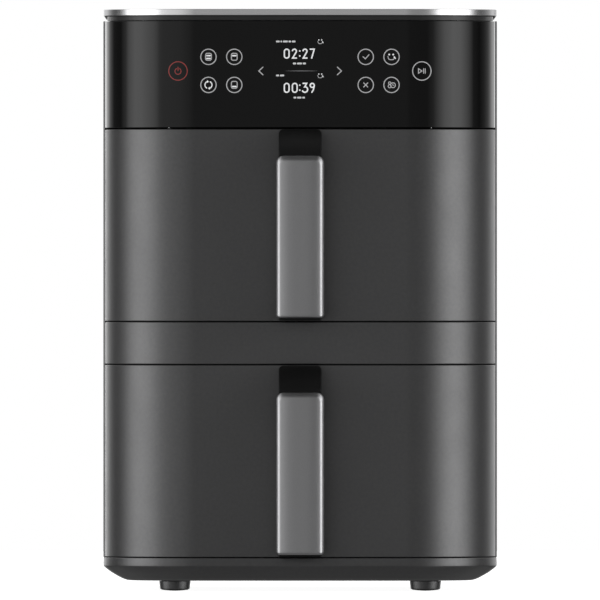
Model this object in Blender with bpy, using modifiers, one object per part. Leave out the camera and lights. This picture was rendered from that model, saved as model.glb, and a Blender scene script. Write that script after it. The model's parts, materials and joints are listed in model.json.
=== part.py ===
"""Stacked twin-drawer air fryer, built as it comes apart on a bench.

Run with: blender --background --python part.py
Metres, +Z up. The front faces -Y. The origin is on the floor, under the middle of the whole box, handles
included. Each visible object is one real piece. The lower and upper cooking zones are the same set of pieces,
one zone pitch apart in height.
"""

import math

import bmesh
import bpy
from mathutils import Matrix, Vector

# Housing footprint. The footprint is the outside of the side panels; an inset is measured inwards from it.
HALF_WIDTH = 0.1400
FRONT_RADIUS = 0.0652
FRONT_CENTRE_Y = -0.0980
REAR_RADIUS = 0.0450
REAR_FACE_Y = 0.2062
REAR_CENTRE_Y = REAR_FACE_Y - REAR_RADIUS
FRONT_CENTRE_X = HALF_WIDTH - FRONT_RADIUS
REAR_CENTRE_X = HALF_WIDTH - REAR_RADIUS
PANEL_INSET = 0.0012
FACE_Y = FRONT_CENTRE_Y - FRONT_RADIUS + PANEL_INSET
GAP = 0.0003

# Heights of the outside bands, from the feet up.
BASE_LOW = 0.0073
BASE_TOP = 0.0234
DRAWER_LOW = 0.0243
DRAWER_HEIGHT = 0.1362
ZONE_PITCH = 0.1675
MIDDLE_LOW = 0.1613
MIDDLE_TOP = 0.1908
CONTROL_LOW = 0.3292
CONTROL_TOP = 0.4049
LID_LOW = 0.4085
LID_TOP = 0.4130

# The base pan's outside, from its underside up to its rim: (inset, height).
BASE_EDGE = (
    (0.0182, BASE_LOW),
    (0.0158, 0.0080),
    (0.0112, 0.0102),
    (0.0064, 0.0130),
    (0.0012, 0.0170),
    (0.0003, 0.0180),
    (0.0002, BASE_TOP),
)

# Insets of the lid's rings: (outer edge, inner edge).
RING_INSETS = (0.0033, 0.0090)
BAND_INSETS = (0.0003, 0.0022)
DECK_INSET = 0.0025

# Walls of the moulded and pressed pieces.
BASE_WALL = 0.0022
DRAWER_WALL = 0.0030
CONTROL_WALL = 0.0025
INNER_WALL = 0.0025
SIDE_WALL = 0.0015
SHEET = 0.0008
PLATE_WALL = 0.0015
DECK_SHEET = 0.0010

# Depth of the layers behind the front face.
DECK_CHORD_Y = -0.1183
INNER_PANEL_Y = -0.1210
FRAME_Y = -0.1180
FRAME_FLANGE_Y = -0.0965
FRAME_HALF = 0.1295
LINER_FRONT_Y = -0.1152
LINER_REAR_Y = 0.1400
GUARD_Y = 0.0960

# One cooking zone, in heights above the low edge of its drawer front.
LINER_HALF = 0.1255
LINER_LOW = 0.0057
LINER_TOP = 0.1300
ZONE_CENTRE = (LINER_LOW + LINER_TOP) / 2
WINDOW_HALF = 0.1228
WINDOW_LOW = 0.0075
WINDOW_TOP = 0.1275
BASKET_HALF = 0.1160
BASKET_FRONT_Y = -0.1151
BASKET_REAR_Y = 0.0825
BASKET_RADIUS = 0.0200
BASKET_FLOOR = 0.0120
BASKET_RIM = 0.1190
BASKET_FLANGE = 0.0055
BASKET_DRAFT = 0.0035
BASKET_FILLET = 0.0060
PLATE_HALF = 0.1035
PLATE_FRONT_Y = -0.1025
PLATE_REAR_Y = 0.0700
PLATE_RADIUS = 0.0220
PLATE_LOW = 0.0132
PLATE_TOP = 0.0275
PLATE_ROUNDING = 0.0050
PLATE_HOLE_RADIUS = 0.0060
PLATE_HOLE_PITCH = (0.0440, 0.0320)
PROBE_PLACE = (0.0800, 0.0920)
PROBE_RADIUS = 0.0020

# Handle, measured outwards from the drawer's face and upwards from its low edge.
GRIP_HALF = 0.0170
GRIP_RADIUS = 0.0040
GRIP_WALL = 0.0011
GRIP_DEPTH = 0.0090
GRIP_LOW = 0.0019
GRIP_TOP = 0.1169
HANDLE_REACH = 0.0460
CORE_HALF = 0.0152
CHIN_LOW = 0.0002
NOSE_INSET = 0.0021
SHOULDER_CENTRE = (-0.0030, 0.1120)
SHOULDER_REACH = 0.0345
SHOULDER_RISE = 0.0237
FINGER_DEPTH = 0.0270
FINGER_LOW = 0.0130
FINGER_TOP = 0.1040

# Air path behind each basket, in Y.
COIL_Y = 0.1050
COIL_OUTER = 0.0540
COIL_INNER = 0.0420
COIL_TUBE = 0.0032
FAN_Y = 0.1190
FAN_RADIUS = 0.0400
SHAFT_RADIUS = 0.0030
RUNNING_CLEARANCE = 0.00015
SHAFT_FRONT_Y = 0.1120
SHAFT_REAR_Y = 0.1900
MOTOR_Y = 0.1412
MOTOR_LENGTH = 0.0300
MOTOR_RADIUS = 0.0260
COOLING_FAN_Y = 0.1775
COOLING_FAN_RADIUS = 0.0300
COVER_THICKNESS = 0.0035
VENT_HALF_LENGTH = 0.0600
VENT_HALF_HEIGHT = 0.0022
VENT_PITCH = 0.0110
VENTS = 6

# The guard before each fan: rings of round holes as (radius, count), and slots at both sides.
GUARD_RINGS = ((0.0000, 1), (0.0175, 6), (0.0350, 12))
GUARD_HOLE_RADIUS = 0.0058
GUARD_SLOT = (0.0700, 0.1120)
GUARD_SLOT_HALF_HEIGHT = 0.0050
GUARD_SLOT_PITCH = 0.0240
GUARD_SLOTS = 4

# Electronics, in heights above the floor.
SHIELD_Z = 0.3255
POWER_BOARD_Z = 0.3330
BOARD_THICKNESS = 0.0016

# Fixings and feet.
FOOT_PLACES = {
    # row: (distance from the middle, y)
    "front": (0.0890, -0.1180),
    "rear": (0.0895, 0.1500),
}
SCREW_X = 0.0860
SCREW_ZS = {"lower": 0.0360, "upper": 0.3920}
SCREW_HEAD = 0.0018
SCREW_RADIUS = 0.0016
SCREW_HEAD_RADIUS = 0.0034
SCREW_LENGTH = 0.0100
GLAND_X = 0.0600
GLAND_Z = 0.0480
GLAND_RADIUS = 0.0075
GLAND_BORE = 0.0040
GLAND_FLANGE = 0.0104
GLAND_HEAD = 0.0016
GLAND_LENGTH = 0.0120
FOOT_RADII = (0.0112, 0.0104, 0.0094)
FOOT_ROUNDING = 0.0008

PAINTS = {
    # name: (colour, roughness, metallic)
    "charcoal_paint": ((0.046, 0.046, 0.047), 0.38, 0.25),
    "gloss_black": ((0.004, 0.004, 0.005), 0.06, 0.0),
    "brushed_silver": ((0.55, 0.55, 0.55), 0.28, 1.0),
    "satin_silver": ((0.30, 0.30, 0.31), 0.34, 0.9),
    "black_plastic": ((0.010, 0.010, 0.011), 0.50, 0.0),
    "top_plastic": ((0.020, 0.020, 0.021), 0.45, 0.0),
    "nonstick": ((0.018, 0.018, 0.019), 0.42, 0.3),
    "plated_steel": ((0.42, 0.43, 0.44), 0.35, 1.0),
    "black_rubber": ((0.012, 0.012, 0.012), 0.75, 0.0),
    "grey_silicone": ((0.12, 0.12, 0.12), 0.65, 0.0),
    "heater_steel": ((0.16, 0.15, 0.14), 0.40, 1.0),
    "circuit_board": ((0.010, 0.075, 0.030), 0.50, 0.0),
    "display_glass": ((0.010, 0.010, 0.012), 0.10, 0.0),
    "motor_steel": ((0.30, 0.30, 0.31), 0.40, 0.9),
    "wire_sleeve": ((0.030, 0.030, 0.032), 0.70, 0.0),
}

FACINGS = {
    # axis: (rotation that turns a flat outline to face it, index of the axis)
    "X": ((math.pi / 2, 0, math.pi / 2), 0),
    "Y": ((math.pi / 2, 0, 0), 1),
    "Z": ((0, 0, 0), 2),
}


# Scene and object helpers


def clear_scene():
    for obj in list(bpy.data.objects):
        bpy.data.objects.remove(obj)


def make_collection(name):
    collection = bpy.data.collections.new(name)
    bpy.context.scene.collection.children.link(collection)
    return collection


def make_material(name, colour, roughness, metallic):
    material = bpy.data.materials.new(name)
    material.use_nodes = True
    shader = material.node_tree.nodes["Principled BSDF"]
    shader.inputs["Base Color"].default_value = (*colour, 1)
    shader.inputs["Roughness"].default_value = roughness
    shader.inputs["Metallic"].default_value = metallic
    return material


def add_object(name, data, paint):
    """A piece of the object, or a cutter where paint is None."""
    obj = bpy.data.objects.new(name, data)
    if paint is None:
        CUTTERS.objects.link(obj)
        obj.hide_render = True
        obj.display_type = "WIRE"
    else:
        PIECES.objects.link(obj)
        data.materials.append(MATERIALS[paint])
    return obj


def as_mesh(obj, paint):
    """The curve object's shape as a mesh object with its caps welded on. The curve is removed."""
    bpy.context.view_layer.update()
    graph = bpy.context.evaluated_depsgraph_get()
    mesh = bpy.data.meshes.new_from_object(obj.evaluated_get(graph))
    mesh.materials.clear()
    shape = bmesh.new()
    shape.from_mesh(mesh)
    bmesh.ops.remove_doubles(shape, verts=shape.verts, dist=1e-6)
    shape.to_mesh(mesh)
    shape.free()
    name, matrix = obj.name, obj.matrix_world.copy()
    bpy.data.objects.remove(obj)
    made = add_object(name, mesh, paint)
    made.matrix_world = matrix
    return made


def boolean(obj, other, operation):
    modifier = obj.modifiers.new(other.name, "BOOLEAN")
    modifier.operation = operation
    modifier.object = other
    modifier.solver = "EXACT"


def cut(obj, *cutters):
    for cutter in cutters:
        boolean(obj, cutter, "DIFFERENCE")


def join(obj, *others):
    for other in others:
        boolean(obj, other, "UNION")


def bevel(obj, width, segments, angle=40):
    modifier = obj.modifiers.new("rounding", "BEVEL")
    modifier.width = width
    modifier.segments = segments
    modifier.limit_method = "ANGLE"
    modifier.angle_limit = math.radians(angle)


def solidify(obj, thickness):
    modifier = obj.modifiers.new("wall", "SOLIDIFY")
    modifier.thickness = thickness
    modifier.offset = -1
    modifier.use_even_offset = True


def smooth(obj, angle=35):
    obj.data.shade_smooth()
    obj.data.set_sharp_from_angle(angle=math.radians(angle))


# Outlines


def arc(centre, radius, start, end, steps):
    """Points along an arc, both ends included. Angles are in degrees."""
    turns = [math.radians(start + (end - start) * i / steps) for i in range(steps + 1)]
    return [(centre[0] + radius * math.cos(t), centre[1] + radius * math.sin(t)) for t in turns]


def front_path(inset):
    """The rounded front of the footprint, from its left end round to its right end."""
    radius = FRONT_RADIUS - inset
    left = arc((-FRONT_CENTRE_X, FRONT_CENTRE_Y), radius, 180, 270, 9)
    right = arc((FRONT_CENTRE_X, FRONT_CENTRE_Y), radius, 270, 360, 9)
    return left + right


def footprint(inset):
    radius = REAR_RADIUS - inset
    right = arc((REAR_CENTRE_X, REAR_CENTRE_Y), radius, 0, 90, 6)
    left = arc((-REAR_CENTRE_X, REAR_CENTRE_Y), radius, 90, 180, 6)
    return front_path(inset) + right + left


def front_segment(inset, chord_y):
    """The part of the rounded front that lies before a straight chord across it."""
    radius = FRONT_RADIUS - inset
    half = FRONT_CENTRE_X + math.sqrt(radius**2 - (chord_y - FRONT_CENTRE_Y) ** 2)
    inner = [point for point in front_path(inset) if point[1] < chord_y - 0.001]
    return [(-half, chord_y), *inner, (half, chord_y)]


def rounded_rectangle(low, high, radius, steps=5):
    (u0, v0), (u1, v1) = low, high
    return (
        arc((u0 + radius, v0 + radius), radius, 180, 270, steps)
        + arc((u1 - radius, v0 + radius), radius, 270, 360, steps)
        + arc((u1 - radius, v1 - radius), radius, 0, 90, steps)
        + arc((u0 + radius, v1 - radius), radius, 90, 180, steps)
    )


def slot(low, high, steps=3):
    """A slot with round ends, running along the first direction."""
    (u0, v0), (u1, v1) = low, high
    radius, middle = (v1 - v0) / 2, (v0 + v1) / 2
    return (
        arc((u1 - radius, middle), radius, -90, 90, steps)
        + arc((u0 + radius, middle), radius, 90, 270, steps)
    )


def circle(centre, radius, steps):
    return arc(centre, radius, 0, 360, steps)[:-1]


def at_height(outline, z):
    return [(x, y, z) for x, y in outline]


# Solids


def flat_piece(name, outlines, low, high, facing, paint):
    """A plate from low to high along the axis it faces. The first outline is its edge, the rest are holes."""
    curve = bpy.data.curves.new(name, "CURVE")
    curve.dimensions = "2D"
    curve.fill_mode = "BOTH"
    curve.extrude = (high - low) / 2
    for outline in outlines:
        spline = curve.splines.new("POLY")
        spline.points.add(len(outline) - 1)
        for point, (u, v) in zip(spline.points, outline):
            point.co = (u, v, 0, 1)
        spline.use_cyclic_u = True
    turn, axis = FACINGS[facing]
    obj = bpy.data.objects.new(name, curve)
    PIECES.objects.link(obj)
    obj.rotation_euler = turn
    obj.location[axis] = (low + high) / 2
    return as_mesh(obj, paint)


def box(name, low, high, paint=None):
    low, high = Vector(low), Vector(high)
    shape = bmesh.new()
    placed = Matrix.Translation((low + high) / 2) @ Matrix.Diagonal((*(high - low), 1))
    bmesh.ops.create_cube(shape, size=1, matrix=placed)
    return add_object(name, mesh_of(name, shape), paint)


def open_box(name, low, high, open_towards, paint):
    """Five walls of a box, as an open surface without thickness."""
    obj = box(name, low, high, paint)
    shape = bmesh.new()
    shape.from_mesh(obj.data)
    shape.normal_update()
    missing = [face for face in shape.faces if face.normal.dot(Vector(open_towards)) > 0.9]
    bmesh.ops.delete(shape, geom=missing, context="FACES")
    shape.to_mesh(obj.data)
    shape.free()
    return obj


def mesh_of(name, shape):
    mesh = bpy.data.meshes.new(name)
    shape.to_mesh(mesh)
    shape.free()
    return mesh


def tray(name, rows, wall, paint, facing="Z"):
    """A dished sheet whose outside goes through the rows. The first row is filled, as its floor."""
    shape = bmesh.new()
    loops = [[shape.verts.new(point) for point in row] for row in rows]
    way = 1 if rows[1][0][2] > rows[0][0][2] else -1
    shape.faces.new(loops[0][::-way])
    for last, following in zip(loops, loops[1:]):
        for i in range(len(last)):
            j = (i + 1) % len(last)
            shape.faces.new((last[i], last[j], following[j], following[i])[::way])
    obj = add_object(name, mesh_of(name, shape), paint)
    obj.rotation_euler = FACINGS[facing][0]
    solidify(obj, wall)
    return obj


def rods(name, places, axis, low, high, radius, steps=12, paint=None):
    """Parallel round rods in one mesh, each at a place in the plane across the axis."""
    shape = bmesh.new()
    turn = {"Y": Matrix.Rotation(math.pi / 2, 4, "X"), "Z": Matrix.Identity(4)}[axis]
    for u, v in places:
        middle = (u, (low + high) / 2, v) if axis == "Y" else (u, v, (low + high) / 2)
        bmesh.ops.create_cone(
            shape,
            cap_ends=True,
            segments=steps,
            radius1=radius,
            radius2=radius,
            depth=high - low,
            matrix=Matrix.Translation(middle) @ turn,
        )
    return add_object(name, mesh_of(name, shape), paint)


def turned(name, profile, place, facing, paint, steps=16):
    """A round piece turned from (radius, height) points down its outside. Its height is along Y or Z."""
    mesh = bpy.data.meshes.new(name)
    points = [(radius, 0, height) for radius, height in profile]
    on_axis = profile[0][0] == 0 and profile[-1][0] == 0
    edges = [(i, i + 1) for i in range(len(points) - 1)]
    if not on_axis:
        edges.append((len(points) - 1, 0))
    mesh.from_pydata(points, edges, [])
    obj = add_object(name, mesh, paint)
    screw = obj.modifiers.new("turning", "SCREW")
    screw.steps = screw.render_steps = steps
    screw.use_merge_vertices = True
    screw.merge_threshold = 0.00001
    obj.location = place
    if facing == "Y":
        obj.rotation_euler = (-math.pi / 2, 0, 0)
    return obj


def tube(name, points, radius, paint):
    curve = bpy.data.curves.new(name, "CURVE")
    curve.dimensions = "3D"
    curve.bevel_depth = radius
    curve.bevel_resolution = 2
    curve.use_fill_caps = True
    spline = curve.splines.new("POLY")
    spline.points.add(len(points) - 1)
    for point, place in zip(spline.points, points):
        point.co = (*place, 1)
    return add_object(name, curve, paint)


def rounded_route(corners, radius, steps=4):
    """A route through the corners, each turned on an arc."""
    corners = [Vector(corner) for corner in corners]
    route = [corners[0]]
    for before, corner, after in zip(corners, corners[1:], corners[2:]):
        inwards, outwards = (before - corner).normalized(), (after - corner).normalized()
        reach = radius / math.tan(inwards.angle(outwards) / 2)
        start, end = corner + inwards * reach, corner + outwards * reach
        for i in range(steps + 1):
            t = i / steps
            route.append(start * (1 - t) ** 2 + corner * 2 * t * (1 - t) + end * t**2)
    return route + [corners[-1]]


# Housing


def build_base():
    """The base pan with its undercut edge, the plate that closes it, and the feet."""
    rows = [at_height(footprint(inset), z) for inset, z in BASE_EDGE]
    smooth(tray("base_pan", rows, BASE_WALL, "charcoal_paint"), 25)
    top = BASE_TOP - 0.0002
    inset = BASE_WALL + 0.0007
    flat_piece("chassis_plate", [footprint(inset)], top - DECK_SHEET, top, "Z", "plated_steel")
    top_radius, low_radius, sole_radius = FOOT_RADII
    profile = [
        (0, BASE_LOW - GAP),
        (top_radius, BASE_LOW - GAP),
        (low_radius, FOOT_ROUNDING),
        (sole_radius, 0),
        (0, 0),
    ]
    for row, (across, y) in FOOT_PLACES.items():
        for side, x in (("left", -across), ("right", across)):
            smooth(turned(f"foot_{row}_{side}", profile, (x, y, 0), "Z", "black_rubber", 16))


def build_side(name, side, low, high):
    """A side panel with its rounded rear corner. side is -1 for the left and 1 for the right."""
    start_y = FRONT_CENTRE_Y + 0.0005
    centre = (REAR_CENTRE_X, REAR_CENTRE_Y)
    outer = [(HALF_WIDTH, start_y)] + arc(centre, REAR_RADIUS, 0, 90, 8)
    inner = arc(centre, REAR_RADIUS - SIDE_WALL, 90, 0, 8) + [(HALF_WIDTH - SIDE_WALL, start_y)]
    outline = [(side * x, y) for x, y in outer + inner]
    smooth(flat_piece(name, [outline], low, high, "Z", "charcoal_paint"))


def build_rear(low, high):
    """The vented rear cover, its four screws and the gland that the cord comes out of."""
    half, margin, corner = REAR_CENTRE_X - 0.0004, 0.0005, 0.0030
    edge = rounded_rectangle((-half, low + margin), (half, high - GAP), corner, 2)
    holes = [circle((GLAND_X, GLAND_Z), GLAND_RADIUS + GAP, 16)]
    for z in SCREW_ZS.values():
        for side in (-1, 1):
            holes.append(circle((side * SCREW_X, z), SCREW_RADIUS + GAP, 8))
    for zone in range(2):
        middle = DRAWER_LOW + ZONE_CENTRE + zone * ZONE_PITCH
        for i in range(VENTS):
            z = middle + (i - (VENTS - 1) / 2) * VENT_PITCH
            ends = (-VENT_HALF_LENGTH, z - VENT_HALF_HEIGHT), (VENT_HALF_LENGTH, z + VENT_HALF_HEIGHT)
            holes.append(slot(*ends, 2))
    flat_piece("rear_cover", [edge, *holes], REAR_FACE_Y - COVER_THICKNESS, REAR_FACE_Y, "Y", "black_plastic")

    profile = [
        (0, SCREW_HEAD),
        (0.65 * SCREW_HEAD_RADIUS, SCREW_HEAD),
        (SCREW_HEAD_RADIUS, 0.55 * SCREW_HEAD),
        (SCREW_HEAD_RADIUS, GAP),
        (SCREW_RADIUS, GAP),
        (SCREW_RADIUS, -SCREW_LENGTH),
        (0, -SCREW_LENGTH),
    ]
    for height, z in SCREW_ZS.items():
        for side, x in (("left", -SCREW_X), ("right", SCREW_X)):
            turned(f"rear_screw_{height}_{side}", profile, (x, REAR_FACE_Y, z), "Y", "plated_steel", 10)

    profile = [
        (GLAND_BORE, GLAND_HEAD),
        (GLAND_FLANGE - 0.0012, GLAND_HEAD),
        (GLAND_FLANGE, GAP),
        (GLAND_RADIUS, GAP),
        (GLAND_RADIUS, -GLAND_LENGTH),
        (GLAND_BORE, -GLAND_LENGTH),
    ]
    smooth(turned("cord_gland", profile, (GLAND_X, REAR_FACE_Y, GLAND_Z), "Y", "black_rubber", 16))


def build_shell():
    low, high = BASE_TOP + GAP, CONTROL_TOP
    build_side("left_side_panel", -1, low, high)
    build_side("right_side_panel", 1, low, high)
    build_rear(low, high)


def build_top():
    """The lid: a metal band round a flat deck, standing on a recessed ring that makes a shadow gap."""
    ring = [footprint(inset) for inset in RING_INSETS]
    band = [footprint(inset) for inset in BAND_INSETS]
    flat_piece("top_shadow_ring", ring, CONTROL_TOP + GAP, LID_LOW - GAP, "Z", "black_plastic")
    flat_piece("top_trim_band", band, LID_LOW, LID_TOP, "Z", "brushed_silver")
    deck_low, deck_top = LID_LOW + 0.0001, LID_TOP - 0.0006
    flat_piece("top_panel", [footprint(DECK_INSET)], deck_low, deck_top, "Z", "top_plastic")


def front_strip(name, low, high, wall, paint):
    """A band of the rounded front: a bent wall, open at the back."""
    outline = front_path(PANEL_INSET) + front_path(PANEL_INSET + wall)[::-1]
    strip = flat_piece(name, [outline], low, high, "Z", paint)
    smooth(strip)
    return strip


def front_tray(name, inset, chord_y, low, high, pocket_low, pocket_high, paint):
    """A back plate with decks that fill the rounded front, hollow towards the front between two heights."""
    piece = flat_piece(name, [front_segment(inset, chord_y)], low, high, "Z", paint)
    beyond = HALF_WIDTH + 0.0600
    pocket_rear = (beyond, chord_y - INNER_WALL, pocket_high)
    cut(piece, box(name + "_pocket", (-beyond, -beyond, pocket_low), pocket_rear))


def build_controls():
    """The curved touch panel, its carrier, and the display and touch boards behind it."""
    front_strip("control_panel", CONTROL_LOW, CONTROL_TOP, CONTROL_WALL, "gloss_black")
    inset = PANEL_INSET + CONTROL_WALL + GAP
    low, high = CONTROL_LOW + 0.0002, CONTROL_TOP - 0.0006
    floor, above = 0.0022, high + 0.0060
    front_tray("panel_carrier", inset, DECK_CHORD_Y, low, high, low + floor, above, "black_plastic")

    board_y, board_half, board_low, board_high = FACE_Y + 0.0052, 0.0900, 0.3420, 0.3940
    board = rounded_rectangle((-board_half, board_low), (board_half, board_high), 0.003, 2)
    flat_piece("touch_board", [board], board_y, board_y + BOARD_THICKNESS, "Y", "circuit_board")

    front, display_half, display_low, display_high = FACE_Y + CONTROL_WALL + GAP, 0.0240, 0.3440, 0.3975
    corners = (-display_half, front, display_low), (display_half, board_y - GAP, display_high)
    box("display_module", *corners, "display_glass")


def build_middle():
    """The fixed band between the drawers and the bulkhead behind it."""
    front_strip("middle_trim", MIDDLE_LOW, MIDDLE_TOP, DRAWER_WALL, "charcoal_paint")
    margin, deck = 0.0002, 0.0022
    low, high = MIDDLE_LOW + margin, MIDDLE_TOP - margin
    inset = PANEL_INSET + DRAWER_WALL + GAP
    front_tray("middle_bulkhead", inset, DECK_CHORD_Y, low, high, low + deck, high - deck, "black_plastic")


def build_front_frame():
    """The frame with a window for each drawer: a front plate, side walls and rear flanges."""
    wall, edge, through = INNER_WALL, HALF_WIDTH - SIDE_WALL - GAP, 0.0100
    inner = FRAME_HALF - wall
    right = [
        (FRAME_HALF, FRAME_Y),
        (FRAME_HALF, FRAME_FLANGE_Y),
        (edge, FRAME_FLANGE_Y),
        (edge, FRAME_FLANGE_Y + wall),
        (inner, FRAME_FLANGE_Y + wall),
        (inner, FRAME_Y + wall),
    ]
    left = [(-x, y) for x, y in right[::-1]]
    frame = flat_piece("front_frame", [left + right], DRAWER_LOW, CONTROL_LOW - 0.0004, "Z", "black_plastic")
    for zone in range(2):
        low = DRAWER_LOW + zone * ZONE_PITCH
        window = box(
            f"window_{zone}",
            (-WINDOW_HALF, FRAME_Y - through, low + WINDOW_LOW),
            (WINDOW_HALF, FRAME_Y + through, low + WINDOW_TOP),
        )
        cut(frame, window)


def build_electronics():
    """The heat shield over the upper zone, the power board on it and the loom down to the lower motor."""
    half, rear, corner = 0.1265, 0.1850, 0.0300
    outline = [(-half, LINER_FRONT_Y), (half, LINER_FRONT_Y)]
    outline += arc((half - corner, rear - corner), corner, 0, 90, 4)
    outline += arc((-half + corner, rear - corner), corner, 90, 180, 4)
    flat_piece("electronics_deck", [outline], SHIELD_Z, SHIELD_Z + DECK_SHEET, "Z", "plated_steel")

    low = POWER_BOARD_Z
    inside = low + BOARD_THICKNESS / 2
    left, right, front, back = -0.0850, 0.0650, -0.0600, 0.0500
    board = box("power_board", (left, front, low), (right, back, low + BOARD_THICKNESS), "circuit_board")
    blocks = {
        # name: (x from, x to, y from, y to, height above the board's underside)
        "transformer": (-0.0720, -0.0320, -0.0450, -0.0100, 0.0300),
        "relay_lower": (-0.0700, -0.0500, 0.0080, 0.0360, 0.0170),
        "relay_upper": (-0.0420, -0.0220, 0.0080, 0.0360, 0.0170),
        "heat_sink": (0.0000, 0.0450, 0.0200, 0.0260, 0.0320),
    }
    for name, (x0, x1, y0, y1, height) in blocks.items():
        join(board, box(name, (x0, y0, inside), (x1, y1, low + height)))
    capacitors = [(0.0000, -0.0300), (0.0260, -0.0300)]
    join(board, rods("capacitors", capacitors, "Z", inside, low + 0.0260, 0.0085))
    margin, post_radius = 0.0070, 0.0030
    posts = [(x, y) for x in (left + margin, right - margin) for y in (front + margin, back - margin)]
    post_low = SHIELD_Z + DECK_SHEET + GAP
    join(board, rods("board_posts", posts, "Z", post_low, inside, post_radius, 8))

    loom_x, loom_y, loom_z, loom_radius = 0.0550, 0.1935, low + 0.0080, 0.0032
    bottom = DRAWER_LOW + ZONE_CENTRE
    route = [(loom_x, back + 0.0010, loom_z), (loom_x, loom_y, loom_z), (loom_x, loom_y, bottom)]
    tube("wiring_loom", rounded_route(route, 0.014), loom_radius, "wire_sleeve")


# One cooking zone


def heater_path(middle):
    """Terminal, outer turn, U-bend, inner turn the other way, and back out beside the first terminal."""
    start, turn_back, end = math.radians(-62), math.radians(244), math.radians(-84)
    first_bend, last_bend, half_step = 0.0080, 0.0060, (COIL_OUTER - COIL_INNER) / 2
    lead, run_out, spread = 0.0370, 0.0120, 0.0115
    outer_steps, inner_steps, run_out_steps = 14, 11, 4

    def polar(radius, angle, y):
        return Vector((radius * math.cos(angle), y, middle + radius * math.sin(angle)))

    def tangent(angle):
        return Vector((-math.sin(angle), 0, math.cos(angle)))

    back = Vector((0, 1, 0))
    first = polar(COIL_OUTER, start, COIL_Y)
    entry = []
    for t in (0, math.pi / 6, math.pi / 3):
        step = back * (1 - math.sin(t)) - tangent(start) * math.cos(t)
        entry.append(first + first_bend * step)
    path = [entry[0] + back * lead, *entry]
    for i in range(outer_steps + 1):
        path.append(polar(COIL_OUTER, start + (turn_back - start) * i / outer_steps, COIL_Y))
    hub = polar(COIL_OUTER - half_step, turn_back, COIL_Y)
    radial = polar(1, turn_back, 0) - polar(0, turn_back, 0)
    for t in (math.pi / 4, math.pi / 2, 3 * math.pi / 4):
        path.append(hub + radial * half_step * math.cos(t) + tangent(turn_back) * half_step * math.sin(t))
    for i in range(inner_steps + 1):
        path.append(polar(COIL_INNER, turn_back + (end - turn_back) * i / inner_steps, COIL_Y))
    last, along = path[-1], -tangent(end)
    for t in (math.pi / 6, math.pi / 3, math.pi / 2):
        path.append(last + back * last_bend * (1 - math.cos(t)) + along * last_bend * math.sin(t))
    low_point = path[-1]
    outwards = Vector((low_point.x, 0, low_point.z - middle)).normalized()
    for i in range(1, run_out_steps + 1):
        t = i / run_out_steps
        path.append(low_point + back * run_out * t + outwards * spread * t * t * (3 - 2 * t))
    path.append(Vector((path[-1].x, path[0].y, path[-1].z)))
    return path


def fan(name, middle, y, radius, depth, blades, paint):
    """A back disc on a hub with radial blades standing forward of it, bored for the shaft."""
    bore, hub, disc = SHAFT_RADIUS + GAP, 0.0075, 0.0012
    profile = [
        (bore, depth),
        (radius, depth),
        (radius, depth - disc),
        (hub, depth - disc),
        (hub, 0),
        (bore, 0),
    ]
    obj = turned(name, profile, (0, y, middle), "Y", paint, 16)
    start, end, thickness = hub + 0.0005, radius - 0.0010, 0.0009
    front, rear = 0.0003, depth - disc / 2 + 0.0003
    shape = bmesh.new()
    for i in range(blades):
        blade = Matrix.Rotation(2 * math.pi * i / blades, 4, "Z")
        size = Matrix.Diagonal((end - start, thickness, rear - front, 1))
        place = Matrix.Translation(((start + end) / 2, 0, (front + rear) / 2))
        bmesh.ops.create_cube(shape, size=1, matrix=blade @ place @ size)
    vanes = add_object(name + "_vanes", mesh_of(name + "_vanes", shape), None)
    vanes.location, vanes.rotation_euler = obj.location, obj.rotation_euler
    join(obj, vanes)


def build_liner(zone, low, leads):
    """The steel oven box with rails for the basket's rim, and holes for the shaft, heater and probe."""
    name = f"{zone}_cavity_liner"
    corner = (LINER_HALF, LINER_REAR_Y, low + LINER_TOP)
    liner = open_box(name, (-LINER_HALF, LINER_FRONT_Y, low + LINER_LOW), corner, (0, -1, 0), "plated_steel")
    solidify(liner, SHEET)
    rail_height, rail_end, side_clearance = 0.0050, 0.0040, 0.0023
    rail_top = low + BASKET_RIM - 0.0006
    for side, x in (("left", -1), ("right", 1)):
        across = sorted((x * (BASKET_HALF + side_clearance), x * (LINER_HALF - SHEET / 2)))
        rail_low = (across[0], LINER_FRONT_Y + rail_end, rail_top - rail_height)
        join(liner, box(f"{name}_rail_{side}", rail_low, (across[1], GUARD_Y - rail_end, rail_top)))
    through, lead_hole_radius, shaft_hole_radius = 0.0050, 0.0050, 0.0060
    middle, ceiling = low + ZONE_CENTRE, low + LINER_TOP
    rear = (LINER_REAR_Y - through, LINER_REAR_Y + through)
    lead_places = [(lead.x, lead.z) for lead in leads]
    cut(
        liner,
        rods(f"{name}_shaft_hole", [(0, middle)], "Y", *rear, shaft_hole_radius),
        rods(f"{name}_lead_holes", lead_places, "Y", *rear, lead_hole_radius, 10),
        rods(
            f"{name}_probe_hole", [PROBE_PLACE], "Z", ceiling - through, ceiling + through,
            PROBE_RADIUS + 2 * GAP, 10,
        ),
    )


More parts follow.
